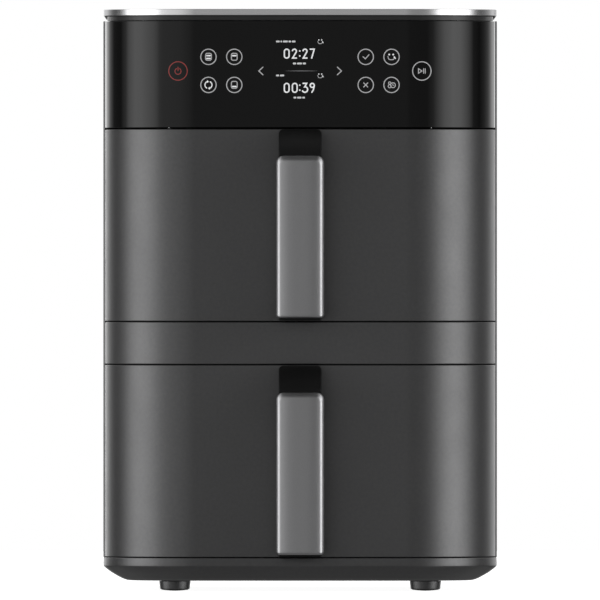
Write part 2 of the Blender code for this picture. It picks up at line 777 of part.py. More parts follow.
def build_guard(zone, low):
    """The sheet between basket and fan, with rings of holes before the fan and slots at both sides."""
    middle = low + ZONE_CENTRE
    half, margin = LINER_HALF - SHEET - GAP, SHEET + GAP
    edge_low = (-half, low + LINER_LOW + margin)
    holes = []
    for radius, count in GUARD_RINGS:
        for i in range(count):
            turn = 2 * math.pi * i / count
            place = (radius * math.cos(turn), middle + radius * math.sin(turn))
            holes.append(circle(place, GUARD_HOLE_RADIUS, 6))
    for side in (-1, 1):
        inner, outer = sorted(side * x for x in GUARD_SLOT)
        for i in range(GUARD_SLOTS):
            z = middle + (i - (GUARD_SLOTS - 1) / 2) * GUARD_SLOT_PITCH
            holes.append(slot((inner, z - GUARD_SLOT_HALF_HEIGHT), (outer, z + GUARD_SLOT_HALF_HEIGHT), 2))
    edge = rounded_rectangle(edge_low, (half, low + LINER_TOP - margin), 0.002, 1)
    flat_piece(f"{zone}_fan_guard", [edge, *holes], GUARD_Y, GUARD_Y + SHEET, "Y", "plated_steel")


def build_motor(zone, middle):
    """The shaft with its two fans, the motor that turns it, and the bracket that holds the motor."""
    fan(f"{zone}_convection_fan", middle, FAN_Y, FAN_RADIUS, 0.0120, 7, "plated_steel")
    fan(f"{zone}_cooling_fan", middle, COOLING_FAN_Y, COOLING_FAN_RADIUS, 0.0100, 5, "black_plastic")
    length = SHAFT_REAR_Y - SHAFT_FRONT_Y
    profile = [(0, length), (SHAFT_RADIUS, length), (SHAFT_RADIUS, 0), (0, 0)]
    smooth(turned(f"{zone}_motor_shaft", profile, (0, SHAFT_FRONT_Y, middle), "Y", "plated_steel", 12))

    bore, boss, boss_height, rounding = SHAFT_RADIUS + RUNNING_CLEARANCE, 0.0090, 0.0030, 0.0020
    shoulder = MOTOR_LENGTH - boss_height
    profile = [
        (bore, MOTOR_LENGTH),
        (boss, MOTOR_LENGTH),
        (boss, shoulder),
        (MOTOR_RADIUS - rounding, shoulder),
        (MOTOR_RADIUS, shoulder - rounding),
        (MOTOR_RADIUS, rounding),
        (MOTOR_RADIUS - rounding, 0),
        (bore, 0),
    ]
    smooth(turned(f"{zone}_fan_motor", profile, (0, MOTOR_Y, middle), "Y", "motor_steel", 16))

    wall, seat = 0.0015, LINER_REAR_Y + GAP
    leg, foot_end, half_height, hole_radius = 0.0350, 0.0460, 0.0120, 0.0050
    plate_y = MOTOR_Y + MOTOR_LENGTH + GAP
    outer = [(foot_end, seat), (foot_end, seat + wall), (leg, seat + wall), (leg, plate_y + wall)]
    inner = [(leg - wall, plate_y), (leg - wall, seat)]
    outline = outer + [(-x, y) for x, y in outer[::-1]] + [(-x, y) for x, y in inner[::-1]] + inner
    low, high = middle - half_height, middle + half_height
    bracket = flat_piece(f"{zone}_motor_bracket", [outline], low, high, "Z", "plated_steel")
    hole = rods(f"{zone}_bracket_hole", [(0, middle)], "Y", plate_y - wall, plate_y + 3 * wall, hole_radius)
    cut(bracket, hole)


def build_air_path(zone, low):
    """Heater, liner, guard, fans with their motor, and temperature probe."""
    middle = low + ZONE_CENTRE
    path = heater_path(middle)
    tube(f"{zone}_heater_coil", path, COIL_TUBE, "heater_steel")
    build_liner(zone, low, (path[0], path[-1]))
    build_guard(zone, low)
    build_motor(zone, middle)

    head_radius, head_height, length, tip_radius, tip = 0.0060, 0.0020, 0.0125, 0.0012, 0.0010
    profile = [
        (0, head_height),
        (head_radius - tip, head_height),
        (head_radius, 0),
        (PROBE_RADIUS, 0),
        (PROBE_RADIUS, -length),
        (tip_radius, -length - tip),
        (0, -length - tip),
    ]
    place = (*PROBE_PLACE, low + LINER_TOP + GAP)
    turned(f"{zone}_temperature_probe", profile, place, "Z", "plated_steel", 10)


def tub_outline(half, front, rear, radius, inset, steps):
    """A rounded rectangle in plan, moved in by an inset on all sides."""
    low, high = (-half + inset, front + inset), (half - inset, rear - inset)
    return rounded_rectangle(low, high, radius - inset, steps)


def build_basket(zone, low):
    """The drawn tub with drafted walls and a flat rim."""

    def row(inset, z):
        plan = tub_outline(BASKET_HALF, BASKET_FRONT_Y, BASKET_REAR_Y, BASKET_RADIUS, inset, 4)
        return at_height(plan, z)

    floor, rim = low + BASKET_FLOOR, low + BASKET_RIM
    rows = []
    for t in (0, math.pi / 4, math.pi / 2):
        inset = BASKET_DRAFT + BASKET_FILLET * (1 - math.sin(t))
        rows.append(row(inset, floor + BASKET_FILLET * (1 - math.cos(t))))
    rows += [row(0, rim), row(-BASKET_FLANGE, rim)]
    smooth(tray(f"{zone}_basket", rows, SHEET, "nonstick"), 50)


def build_crisper(zone, low):
    """The perforated plate that stands in the basket on its skirt."""

    def row(inset, z):
        return at_height(tub_outline(PLATE_HALF, PLATE_FRONT_Y, PLATE_REAR_Y, PLATE_RADIUS, inset, 3), z)

    top = low + PLATE_TOP
    chamfer = 0.3 * PLATE_ROUNDING
    rows = [row(PLATE_ROUNDING, top), row(chamfer, top - chamfer), row(0, top - PLATE_ROUNDING)]
    rows.append(row(0, low + PLATE_LOW))
    plate = tray(f"{zone}_crisper_plate", rows, PLATE_WALL, "nonstick")
    centre_y = (PLATE_FRONT_Y + PLATE_REAR_Y) / 2
    across, along = PLATE_HOLE_PITCH
    places = [
        (across * (column - 1.5 + 0.25 * (-1) ** line), centre_y + along * (line - 2))
        for line in range(5)
        for column in range(4)
    ]
    through = 2 * PLATE_WALL
    cut(plate, rods(f"{zone}_plate_holes", places, "Z", top - through, top + through, PLATE_HOLE_RADIUS, 6))


def build_handle(zone, low):
    """The black core, with a shoulder and a finger gap, and the metal grip cover over its front."""
    face = FACE_Y - GAP
    step_y = -HANDLE_REACH + GRIP_DEPTH + 2 * GAP
    nose_y = -HANDLE_REACH + GRIP_WALL + 4 * GAP
    shoulder_y, shoulder_z = SHOULDER_CENTRE
    last, steps = math.asin((-step_y + shoulder_y) / SHOULDER_REACH), 7
    shoulder = []
    for i in range(steps + 1):
        t = last * i / steps
        place = (shoulder_y - SHOULDER_REACH * math.sin(t), shoulder_z + SHOULDER_RISE * math.cos(t))
        shoulder.append(place)
    grip_top, grip_low = GRIP_TOP - GRIP_WALL - NOSE_INSET, GRIP_LOW + GRIP_WALL + NOSE_INSET
    front = [(step_y, grip_top), (nose_y, grip_top), (nose_y, grip_low), (step_y, grip_low)]
    chin = [(step_y, CHIN_LOW), (0, CHIN_LOW)]
    corner = 0.0050
    gap_y = -FINGER_DEPTH + corner
    gap_low = [(0, FINGER_LOW)] + arc((gap_y, FINGER_LOW + corner), corner, 270, 180, 4)
    gap_high = arc((gap_y, FINGER_TOP - corner), corner, 180, 90, 4) + [(0, FINGER_TOP)]
    outline = [(0, shoulder_z + SHOULDER_RISE), *shoulder, *front, *chin, *gap_low, *gap_high]
    placed = [(face + y, low + z) for y, z in outline]
    core = flat_piece(f"{zone}_handle_core", [placed], -CORE_HALF, CORE_HALF, "X", "black_plastic")
    bevel(core, 0.0010, 1, 50)
    smooth(core)

    def row(inset, depth):
        grip_corner = (-GRIP_HALF + inset, low + GRIP_LOW + inset)
        opposite = (GRIP_HALF - inset, low + GRIP_TOP - inset)
        return at_height(rounded_rectangle(grip_corner, opposite, GRIP_RADIUS - inset, 4), out - depth)

    out, rounding = HANDLE_REACH - face - GAP, 0.0012
    third = rounding / 3
    rows = [row(rounding, 0), row(third, third), row(0, rounding), row(0, GRIP_DEPTH)]
    smooth(tray(f"{zone}_handle_grip", rows, GRIP_WALL, "satin_silver", "Y"), 50)


def build_drawer(zone, low):
    """The painted front, the inner panel and seal behind it, the handle on its face and what it carries."""
    high = low + DRAWER_HEIGHT
    front_strip(f"{zone}_drawer_front", low, high, DRAWER_WALL, "charcoal_paint")
    inset = PANEL_INSET + DRAWER_WALL + GAP
    margin, deck = 0.0004, 0.0029
    front_tray(
        f"{zone}_drawer_inner_panel",
        inset,
        INNER_PANEL_Y,
        low + margin,
        high - margin,
        low + deck,
        high - deck,
        "black_plastic",
    )
    seal_half, seal_low, seal_top = 0.1270, low + 0.0050, low + 0.1310
    outer = rounded_rectangle((-seal_half, seal_low), (seal_half, seal_top), 0.006, 3)
    inner = rounded_rectangle((-WINDOW_HALF, low + WINDOW_LOW), (WINDOW_HALF, low + WINDOW_TOP), 0.003, 3)
    flat_piece(f"{zone}_door_seal", [outer, inner], INNER_PANEL_Y + GAP, FRAME_Y - GAP, "Y", "grey_silicone")
    build_handle(zone, low)
    build_basket(zone, low)
    build_crisper(zone, low)


def main():
    build_base()
    build_shell()
    build_top()
    build_controls()
    build_middle()
    build_front_frame()
    build_electronics()
    for index, zone in enumerate(("lower", "upper")):
        low = DRAWER_LOW + index * ZONE_PITCH
        build_air_path(zone, low)
        build_drawer(zone, low)


clear_scene()
PIECES = make_collection("air_fryer")
CUTTERS = make_collection("cutters")
MATERIALS = {name: make_material(name, *look) for name, look in PAINTS.items()}
main()
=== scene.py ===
import json
import math

import bmesh
import bpy
from mathutils import Matrix, Vector


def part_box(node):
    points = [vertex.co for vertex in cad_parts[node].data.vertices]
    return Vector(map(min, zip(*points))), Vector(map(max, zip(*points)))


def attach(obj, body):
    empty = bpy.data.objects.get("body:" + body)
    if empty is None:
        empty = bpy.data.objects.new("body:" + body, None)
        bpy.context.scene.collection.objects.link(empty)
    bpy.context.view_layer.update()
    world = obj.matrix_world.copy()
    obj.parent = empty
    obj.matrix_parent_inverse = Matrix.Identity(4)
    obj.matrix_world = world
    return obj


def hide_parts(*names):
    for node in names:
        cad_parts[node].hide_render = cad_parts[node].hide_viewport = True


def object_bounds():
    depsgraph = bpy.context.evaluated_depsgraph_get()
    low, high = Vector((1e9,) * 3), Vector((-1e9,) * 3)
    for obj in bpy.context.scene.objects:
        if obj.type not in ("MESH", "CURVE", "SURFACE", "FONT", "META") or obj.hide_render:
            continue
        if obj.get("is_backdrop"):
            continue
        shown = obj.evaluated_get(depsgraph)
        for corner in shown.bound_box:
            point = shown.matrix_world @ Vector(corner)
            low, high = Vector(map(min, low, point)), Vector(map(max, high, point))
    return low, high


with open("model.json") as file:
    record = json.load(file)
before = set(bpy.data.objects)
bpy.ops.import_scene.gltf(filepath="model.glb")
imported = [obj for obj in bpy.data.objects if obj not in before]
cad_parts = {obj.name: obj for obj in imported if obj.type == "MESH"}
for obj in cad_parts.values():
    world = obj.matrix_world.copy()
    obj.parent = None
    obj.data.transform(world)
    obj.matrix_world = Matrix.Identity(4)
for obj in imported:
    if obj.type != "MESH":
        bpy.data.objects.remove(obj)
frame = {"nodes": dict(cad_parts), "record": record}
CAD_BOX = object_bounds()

NODES = frame["nodes"]

MM = 0.001

# Footprint of the housing, as in the CAD model.
HALF_WIDTH = 0.1400
FRONT_RADIUS = 0.0652
FRONT_CENTRE = (HALF_WIDTH - FRONT_RADIUS, -0.0980)
REAR_RADIUS = 0.0450
REAR_FACE_Y = 0.2062
REAR_CENTRE = (HALF_WIDTH - REAR_RADIUS, REAR_FACE_Y - REAR_RADIUS)
PANEL_INSET = 0.0012
FACE_Y = FRONT_CENTRE[1] - FRONT_RADIUS + PANEL_INSET
CORNER_STEPS = 28

# The two cooking zones: the height at which each starts, and of its fan's axis above that.
ZONE_PITCH = 0.1675
DRAWER_LOW = 0.0243
ZONES = {"lower": DRAWER_LOW, "upper": DRAWER_LOW + ZONE_PITCH}
FAN_AXIS = 0.06785


# ---- materials


# Blender's noise keeps mostly within these values.
NOISE_LOW, NOISE_HIGH = 0.3, 0.7


class Nodes:
    """A node tree, with helpers that add nodes to it and link them."""

    def __init__(self, tree):
        self.tree = tree

    def add(self, kind, inputs=(), **settings):
        """A new node. Each input is given its value, or the output to link to it."""
        node = self.tree.nodes.new(kind)
        for key, value in settings.items():
            setattr(node, key, value)
        for key, value in dict(inputs).items():
            self.feed(node.inputs[key], value)
        return node

    def feed(self, socket, value):
        if isinstance(value, bpy.types.NodeSocket):
            self.tree.links.new(value, socket)
        else:
            socket.default_value = value

    def math(self, operation, *values):
        return self.add("ShaderNodeMath", dict(enumerate(values)), operation=operation).outputs["Value"]


class Shader(Nodes):
    """A Principled material with helpers that add texture nodes in object space, in metres."""

    def __init__(self, name, colour, roughness, metallic=0.0, **sockets):
        self.material = bpy.data.materials.new(name)
        self.material.use_nodes = True
        super().__init__(self.material.node_tree)
        self.bsdf = self.tree.nodes["Principled BSDF"]
        self.set("Base Color", (*colour, 1))
        self.set("Roughness", roughness)
        self.set("Metallic", metallic)
        for socket, value in sockets.items():
            self.set(socket.replace("_", " "), value)
        self.object_space = self.add("ShaderNodeTexCoord").outputs["Object"]
        self.relief = None

    def set(self, socket, value):
        self.feed(self.bsdf.inputs[socket], value)

    def space(self, stretch=(1, 1, 1)):
        return self.add("ShaderNodeMapping", {"Scale": stretch, "Vector": self.object_space}).outputs["Vector"]

    def noise(self, scale, detail=2.0, roughness=0.5, stretch=(1, 1, 1)):
        inputs = {"Scale": scale, "Detail": detail, "Roughness": roughness, "Vector": self.space(stretch)}
        return self.add("ShaderNodeTexNoise", inputs).outputs["Fac"]

    def cells(self, scale):
        return self.add("ShaderNodeTexVoronoi", {"Scale": scale, "Vector": self.space()}).outputs["Distance"]

    def remap(self, value, low, high, out_low, out_high):
        inputs = {"Value": value, "From Min": low, "From Max": high, "To Min": out_low, "To Max": out_high}
        return self.add("ShaderNodeMapRange", inputs).outputs["Result"]

    def full(self, noise):
        """Noise stretched over the whole range from 0 to 1."""
        return self.remap(noise, NOISE_LOW, NOISE_HIGH, 0, 1)

    def colour(self, factor, a, b):
        """Colours the surface from a to b by a texture."""
        mixed = self.add("ShaderNodeMix", {"Factor": factor, "A": (*a, 1), "B": (*b, 1)}, data_type="RGBA")
        self.set("Base Color", mixed.outputs["Result"])

    def roughness(self, factor, low, high):
        self.set("Roughness", self.remap(factor, NOISE_LOW, NOISE_HIGH, low, high))

    def bump(self, height, strength, distance):
        """Adds a layer of relief to those already there."""
        inputs = {"Height": height, "Strength": strength, "Distance": distance}
        if self.relief is not None:
            inputs["Normal"] = self.relief
        self.relief = self.add("ShaderNodeBump", inputs).outputs["Normal"]
        self.set("Normal", self.relief)


def grey(value):
    """Grey with a trace of blue, as the photo's greys have."""
    return (value, value, value * 1.01)


def make_charcoal():
    s = Shader("charcoal_paint", grey(0.135), 0.36, 0.76, Coat_Weight=0.15, Coat_Roughness=0.22)
    flake, mottle, cloud = s.noise(5200, 1), s.noise(420, 2), s.noise(11, 3)
    fine = s.math("ADD", s.math("MULTIPLY", flake, 0.45), s.math("MULTIPLY", mottle, 0.40))
    tone = s.math("ADD", fine, s.math("MULTIPLY", cloud, 0.15))
    s.colour(s.full(tone), grey(0.119), grey(0.151))
    s.roughness(s.noise(42, 3), 0.345, 0.385)
    s.bump(s.noise(1500, 2), 0.05, 0.00006)
    s.bump(s.noise(130, 2), 0.02, 0.0004)
    return s.material


def make_gloss():
    s = Shader("gloss_black", grey(0.0012), 0.045, 0.0, Coat_Weight=0.0, IOR=1.43)
    smear = s.noise(24, 4, 0.6, (1, 1, 0.6))
    s.roughness(smear, 0.035, 0.075)
    s.colour(smear, grey(0.0009), grey(0.0015))
    s.bump(s.noise(60, 2), 0.012, 0.0005)
    return s.material


def make_band():
    s = Shader("brushed_silver", grey(0.95), 0.20, 1.0, Specular_Tint=(0.40, 0.40, 0.40, 1))
    line = s.noise(1, 3, 0.65, (6, 6, 5200))
    s.colour(s.full(line), grey(0.92), grey(0.98))
    s.roughness(line, 0.17, 0.23)
    s.bump(line, 0.06, 0.00005)
    return s.material


def make_grip():
    s = Shader("satin_silver", grey(0.47), 0.37, 1.0)
    grain = s.noise(2600, 2)
    drift = s.noise(260, 3, 0.6)
    s.colour(s.full(grain), (0.442, 0.442, 0.450), (0.498, 0.498, 0.506))
    s.roughness(drift, 0.34, 0.40)
    s.bump(grain, 0.08, 0.00004)
    s.bump(drift, 0.04, 0.00008)
    return s.material


def make_plastic(name, value, roughness, grain, ior=1.46):
    s = Shader(name, grey(value), roughness, 0.0, IOR=ior)
    spark = s.cells(grain)
    s.colour(s.noise(70, 3), grey(value * 0.85), grey(value * 1.2))
    s.roughness(s.noise(160, 3), roughness - 0.05, roughness + 0.06)
    s.bump(spark, 0.20, 0.00005)
    s.bump(s.noise(grain * 0.4, 3), 0.06, 0.00006)
    return s.material


def make_nonstick():
    s = Shader("nonstick", grey(0.022), 0.38, 0.25, Coat_Weight=0.2, Coat_Roughness=0.3)
    speck = s.cells(900)
    s.colour(s.remap(speck, 0.0, 0.35, 1, 0), grey(0.018), grey(0.046))
    s.roughness(s.noise(90, 4), 0.33, 0.46)
    s.bump(s.noise(1400, 2), 0.16, 0.00006)
    s.bump(s.noise(90, 2), 0.03, 0.0005)
    return s.material


def make_steel(name, value, low, high, stretch):
    s = Shader(name, grey(value), low, 1.0)
    line = s.noise(1, 4, 0.6, stretch)
    cloud = s.noise(16, 4, 0.6)
    tone = s.math("ADD", s.math("MULTIPLY", line, 0.6), s.math("MULTIPLY", cloud, 0.4))
    s.colour(s.full(tone), grey(value * 0.82), grey(value * 1.15))
    s.roughness(cloud, low, high)
    s.bump(line, 0.08, 0.00006)
    return s.material


def make_rubber(name, value, roughness):
    s = Shader(name, grey(value), roughness, 0.0, Sheen_Weight=0.08, Sheen_Roughness=0.5)
    s.colour(s.noise(220, 4), grey(value * 0.8), grey(value * 1.3))
    s.roughness(s.noise(500, 3), roughness - 0.08, roughness + 0.06)
    s.bump(s.noise(2600, 2), 0.2, 0.00006)
    return s.material


def make_heater():
    s = Shader("heater_steel", (0.20, 0.18, 0.165), 0.42, 1.0)
    s.colour(s.full(s.noise(60, 4, 0.6)), (0.10, 0.085, 0.075), (0.27, 0.235, 0.20))
    s.roughness(s.noise(200, 3), 0.36, 0.55)
    s.bump(s.noise(1700, 2), 0.15, 0.00006)
    return s.material


def make_board():
    s = Shader("circuit_board", (0.012, 0.085, 0.035), 0.38, 0.0, Coat_Weight=0.4, Coat_Roughness=0.2)
    brick = s.add("ShaderNodeTexBrick", {
        "Vector": s.space(), "Scale": 260, "Mortar Size": 0.06, "Color1": (0.008, 0.062, 0.024, 1),
        "Color2": (0.010, 0.072, 0.030, 1), "Mortar": (0.030, 0.150, 0.060, 1),
    })
    s.set("Base Color", brick.outputs["Color"])
    s.roughness(s.noise(300, 3), 0.32, 0.46)
    s.bump(brick.outputs["Fac"], 0.2, 0.00004)
    return s.material


def make_sleeve():
    s = Shader("wire_sleeve", grey(0.03), 0.7)
    weave = s.add("ShaderNodeTexWave", {"Vector": s.space(), "Scale": 260, "Distortion": 0.6},
                  wave_type="BANDS", bands_direction="DIAGONAL")
    s.colour(weave.outputs["Fac"], grey(0.012), grey(0.055))
    s.roughness(s.noise(900, 2), 0.62, 0.78)
    s.bump(weave.outputs["Fac"], 0.5, 0.0003)
    return s.material


def make_print(name, colour, strength):
    """Backlit ink under the gloss: a lit colour, a little uneven as the light guide behind it is."""
    s = Shader(name, tuple(c * 0.4 for c in colour), 0.25)
    s.set("Emission Color", (*colour, 1))
    glow = s.noise(260, 2)
    s.colour(glow, tuple(c * 0.32 for c in colour), tuple(c * 0.45 for c in colour))
    s.roughness(glow, 0.2, 0.3)
    s.set("Emission Strength", s.remap(glow, 0.25, 0.75, strength * 0.9, strength * 1.1))
    return s.material


MATERIALS = {
    "charcoal_paint": make_charcoal(),
    "gloss_black": make_gloss(),
    "brushed_silver": make_band(),
    "satin_silver": make_grip(),
    "black_plastic": make_plastic("black_plastic", 0.009, 0.46, 1900),
    "top_plastic": make_plastic("top_plastic", 0.017, 0.42, 1500),
    "nonstick": make_nonstick(),
    "plated_steel": make_steel("plated_steel", 0.45, 0.26, 0.40, (900, 40, 40)),
    "black_rubber": make_rubber("black_rubber", 0.012, 0.74),
    "grey_silicone": make_rubber("grey_silicone", 0.12, 0.60),
    "heater_steel": make_heater(),
    "circuit_board": make_board(),
    "display_glass": make_plastic("display_glass", 0.012, 0.12, 1200),
    "motor_steel": make_steel("motor_steel", 0.33, 0.32, 0.46, (60, 1400, 60)),
    "wire_sleeve": make_sleeve(),
}
RING_FINISH = make_plastic("ring_plastic", 0.028, 0.34, 1900, ior=1.52)
CORE_FINISH = make_plastic("core_plastic", 0.0092, 0.58, 1900, ior=1.30)
LIT_WHITE = make_print("lit_white", (0.90, 0.91, 0.92), 0.66)
LIT_MILD = make_print("lit_mild", (0.80, 0.81, 0.82), 0.52)
LIT_GREY = make_print("lit_grey", (0.60, 0.60, 0.61), 0.46)
LIT_DIM = make_print("lit_dim", (0.30, 0.30, 0.31), 0.30)
LIT_RED = make_print("lit_red", (0.42, 0.060, 0.055), 0.34)


# ---- pieces


def finish_piece(obj, body, slot, replaces=(), material=None, angle=35, weighted=True):
    """Puts a finished mesh on its body, in its finish, and in the place of the CAD nodes it stands for."""
    mesh = obj.data
    mesh.materials.clear()
    mesh.materials.append(material or MATERIALS[slot])
    mesh.shade_smooth()
    mesh.set_sharp_from_angle(angle=math.radians(angle))
    if weighted:
        even = obj.modifiers.new("normals", "WEIGHTED_NORMAL")
        even.mode = "FACE_AREA"
        even.keep_sharp = True
    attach(obj, body)
    if replaces:
        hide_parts(*replaces)


def new_object(name, data):
    obj = bpy.data.objects.new(name, data)
    bpy.context.scene.collection.objects.link(obj)
    return obj


def mesh_object(name, shape):
    mesh = bpy.data.meshes.new(name)
    shape.to_mesh(mesh)
    shape.free()
    return new_object(name, mesh)


def solid_object(name, shape):
    """A closed shape, its faces turned outwards."""
    bmesh.ops.recalc_face_normals(shape, faces=shape.faces)
    return mesh_object(name, shape)


def bridge(shape, a, b):
    """Quads between two closed loops of as many vertices."""
    for i in range(len(a)):
        j = (i + 1) % len(a)
        shape.faces.new((a[i], a[j], b[j], b[i]))


def loft(name, loops, ring=False):
    """A skin over closed loops of points. A ring joins the last loop to the first; otherwise both ends are capped."""
    shape = bmesh.new()
    rows = [[shape.verts.new(point) for point in loop] for loop in loops]
    pairs = list(zip(rows, rows[1:])) + ([(rows[-1], rows[0])] if ring else [])
    for a, b in pairs:
        bridge(shape, a, b)
    if not ring:
        shape.faces.new(rows[0][::-1])
        shape.faces.new(rows[-1])
    return solid_object(name, shape)


def arc(centre, radius, start, end, steps):
    """Points on an arc, from and to an angle in degrees."""
    turns = [math.radians(start + (end - start) * i / steps) for i in range(steps + 1)]
    return [(centre[0] + radius * math.cos(t), centre[1] + radius * math.sin(t)) for t in turns]


def arc_path(centre, start, end, radius, steps):
    """Points on an arc, each with its outward normal."""
    path = []
    for i in range(steps + 1):
        t = math.radians(start + (end - start) * i / steps)
        normal = Vector((math.cos(t), math.sin(t)))
        path.append((Vector(centre) + normal * radius, normal))
    return path


def front_path(inset, steps=CORNER_STEPS):
    """The rounded front of the footprint as (point, outward normal) pairs, left end to right end."""
    x, y = FRONT_CENTRE
    left = arc_path((-x, y), 180, 270, FRONT_RADIUS - inset, steps)
    right = arc_path((x, y), 270, 360, FRONT_RADIUS - inset, steps)
    return left + right


def whole_path(inset, steps=CORNER_STEPS):
    """The whole footprint, drawn in by an inset, as such pairs."""
    x, y = REAR_CENTRE
    right = arc_path((x, y), 0, 90, REAR_RADIUS - inset, steps)
    left = arc_path((-x, y), 90, 180, REAR_RADIUS - inset, steps)
    return front_path(inset, steps) + right + left


def section(depth0, low, depth1, high, radii, steps=4):
    """A rounded rectangle (depth inwards, height). radii: outer edges, inner edges."""
    outer, inner = radii
    return (
        arc((depth0 + outer, low + outer), outer, 270, 180, steps)
        + arc((depth0 + outer, high - outer), outer, 180, 90, steps)
        + arc((depth1 - inner, high - inner), inner, 90, 0, steps)
        + arc((depth1 - inner, low + inner), inner, 0, -90, steps)
    )


def sweep(name, path, outline, ring=False):
    """Carries an outline of (depth inwards, height) along a path in plan."""
    loops = [
        [(point.x - normal.x * depth, point.y - normal.y * depth, z) for depth, z in outline]
        for point, normal in path
    ]
    return loft(name, loops, ring)


def rounded_rectangle(low, high, radius, steps=8):
    (u0, v0), (u1, v1) = low, high
    return (
        arc((u0 + radius, v0 + radius), radius, 180, 270, steps)
        + arc((u1 - radius, v0 + radius), radius, 270, 360, steps)
        + arc((u1 - radius, v1 - radius), radius, 0, 90, steps)
        + arc((u0 + radius, v1 - radius), radius, 90, 180, steps)
    )


def between(a, b, count):
    """Points that divide the way from a to b, both ends left out."""
    return [(a[0] + (b[0] - a[0]) * i / count, a[1] + (b[1] - a[1]) * i / count) for i in range(1, count)]


def slot_outline(low, high, steps=8):
    (u0, v0), (u1, v1) = low, high
    radius, middle = (v1 - v0) / 2, (v0 + v1) / 2
    return (
        arc((u1 - radius, middle), radius, -90, 90, steps)
        + arc((u0 + radius, middle), radius, 90, 270, steps)
    )


def circle(centre, radius, steps=24):
    return arc(centre, radius, 0, 360, steps)[:-1]


# How a plate drawn in X and Y is turned to face along an axis, and that axis's number.
TURNS = {"X": ((math.pi / 2, 0, math.pi / 2), 0), "Y": ((math.pi / 2, 0, 0), 1)}


def plate(name, outlines, low, high, facing, rounding, segments):
    """A flat plate with softened edges, from low to high along its axis. Outlines after the first are holes."""
    curve = bpy.data.curves.new(name, "CURVE")
    curve.dimensions = "2D"
    curve.fill_mode = "BOTH"
    curve.extrude = (high - low) / 2 - rounding
    curve.bevel_depth = rounding
    curve.bevel_resolution = segments - 1
    curve.offset = -rounding
    for outline in outlines:
        spline = curve.splines.new("POLY")
        spline.points.add(len(outline) - 1)
        for point, (u, v) in zip(spline.points, outline):
            point.co = (u, v, 0, 1)
        spline.use_cyclic_u = True
    turn, axis = TURNS[facing]
    temporary = new_object(name + "_curve", curve)
    temporary.rotation_euler = turn
    temporary.location[axis] = (low + high) / 2
    bpy.context.view_layer.update()
    graph = bpy.context.evaluated_depsgraph_get()
    mesh = bpy.data.meshes.new_from_object(temporary.evaluated_get(graph))
    mesh.transform(temporary.matrix_world)
    bpy.data.objects.remove(temporary)
    shape = bmesh.new()
    shape.from_mesh(mesh)
    bmesh.ops.remove_doubles(shape, verts=shape.verts, dist=1e-6)
    bpy.data.meshes.remove(mesh)
    return solid_object(name, shape)


def turned(name, profile, place, facing="Z", steps=48):
    """A piece turned from (radius, height) points. The ends of an open profile lie on its axis."""
    closed = profile[0][0] > 0 or profile[-1][0] > 0
    shape, rows = bmesh.new(), []
    for i in range(steps):
        t = 2 * math.pi * i / steps
        rows.append([shape.verts.new((r * math.cos(t), r * math.sin(t), h)) for r, h in profile])
    count = len(profile)
    for a, b in zip(rows, rows[1:] + rows[:1]):
        for i in range(count if closed else count - 1):
            j = (i + 1) % count
            shape.faces.new((a[i], b[i], b[j], a[j]))
    bmesh.ops.remove_doubles(shape, verts=shape.verts, dist=1e-7)
    bmesh.ops.dissolve_degenerate(shape, edges=shape.edges, dist=1e-8)
    turn = {"Z": Matrix.Identity(4), "Y": Matrix.Rotation(-math.pi / 2, 4, "X")}[facing]
    bmesh.ops.transform(shape, matrix=Matrix.Translation(place) @ turn, verts=shape.verts)
    return solid_object(name, shape)


def boolean(obj, other, operation, use_self=False):
    """Cuts obj with other, or keeps what they share. The other is used up."""
    modifier = obj.modifiers.new("boolean", "BOOLEAN")
    modifier.operation = operation
    modifier.object = other
    modifier.solver = "EXACT"
    modifier.use_self = use_self
    bpy.context.view_layer.update()
    graph = bpy.context.evaluated_depsgraph_get()
    mesh = bpy.data.meshes.new_from_object(obj.evaluated_get(graph))
    obj.modifiers.clear()
    obj.data = mesh
    bpy.data.objects.remove(other)


# ---- housing


def build_fronts():
    strips = (
        # name, node, body, slot, wall, how far the low and the high edge stand beyond the node's
        ("control_glass", "control_panel", "housing", "gloss_black", 0.0025, 0.00025, 0),
        ("middle_band", "middle_trim", "housing", "charcoal_paint", 0.0030, 0.0002, 0.0002),
        ("lower_drawer_face", "lower_drawer_front", "lower_drawer", "charcoal_paint", 0.0030, 0.0002, 0),
        ("upper_drawer_face", "upper_drawer_front", "upper_drawer", "charcoal_paint", 0.0030, 0.0002, -0.0002),
    )
    chip, top_chip = 0.0002, 0.0005
    for name, node, body, slot, wall, below, beyond in strips:
        low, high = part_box(node)[0].z - below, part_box(node)[1].z + beyond
        if slot == "gloss_black":
            outline = [(chip, low), (0, low + chip), (0, high - top_chip), (top_chip, high),
                       (wall - chip, high), (wall, high - chip), (wall, low + chip), (wall - chip, low)]
        else:
            outline = section(0, low, wall, high, (0.0006, 0.0003))
        obj = sweep(name, front_path(PANEL_INSET), outline)
        finish_piece(obj, body, slot, [node])


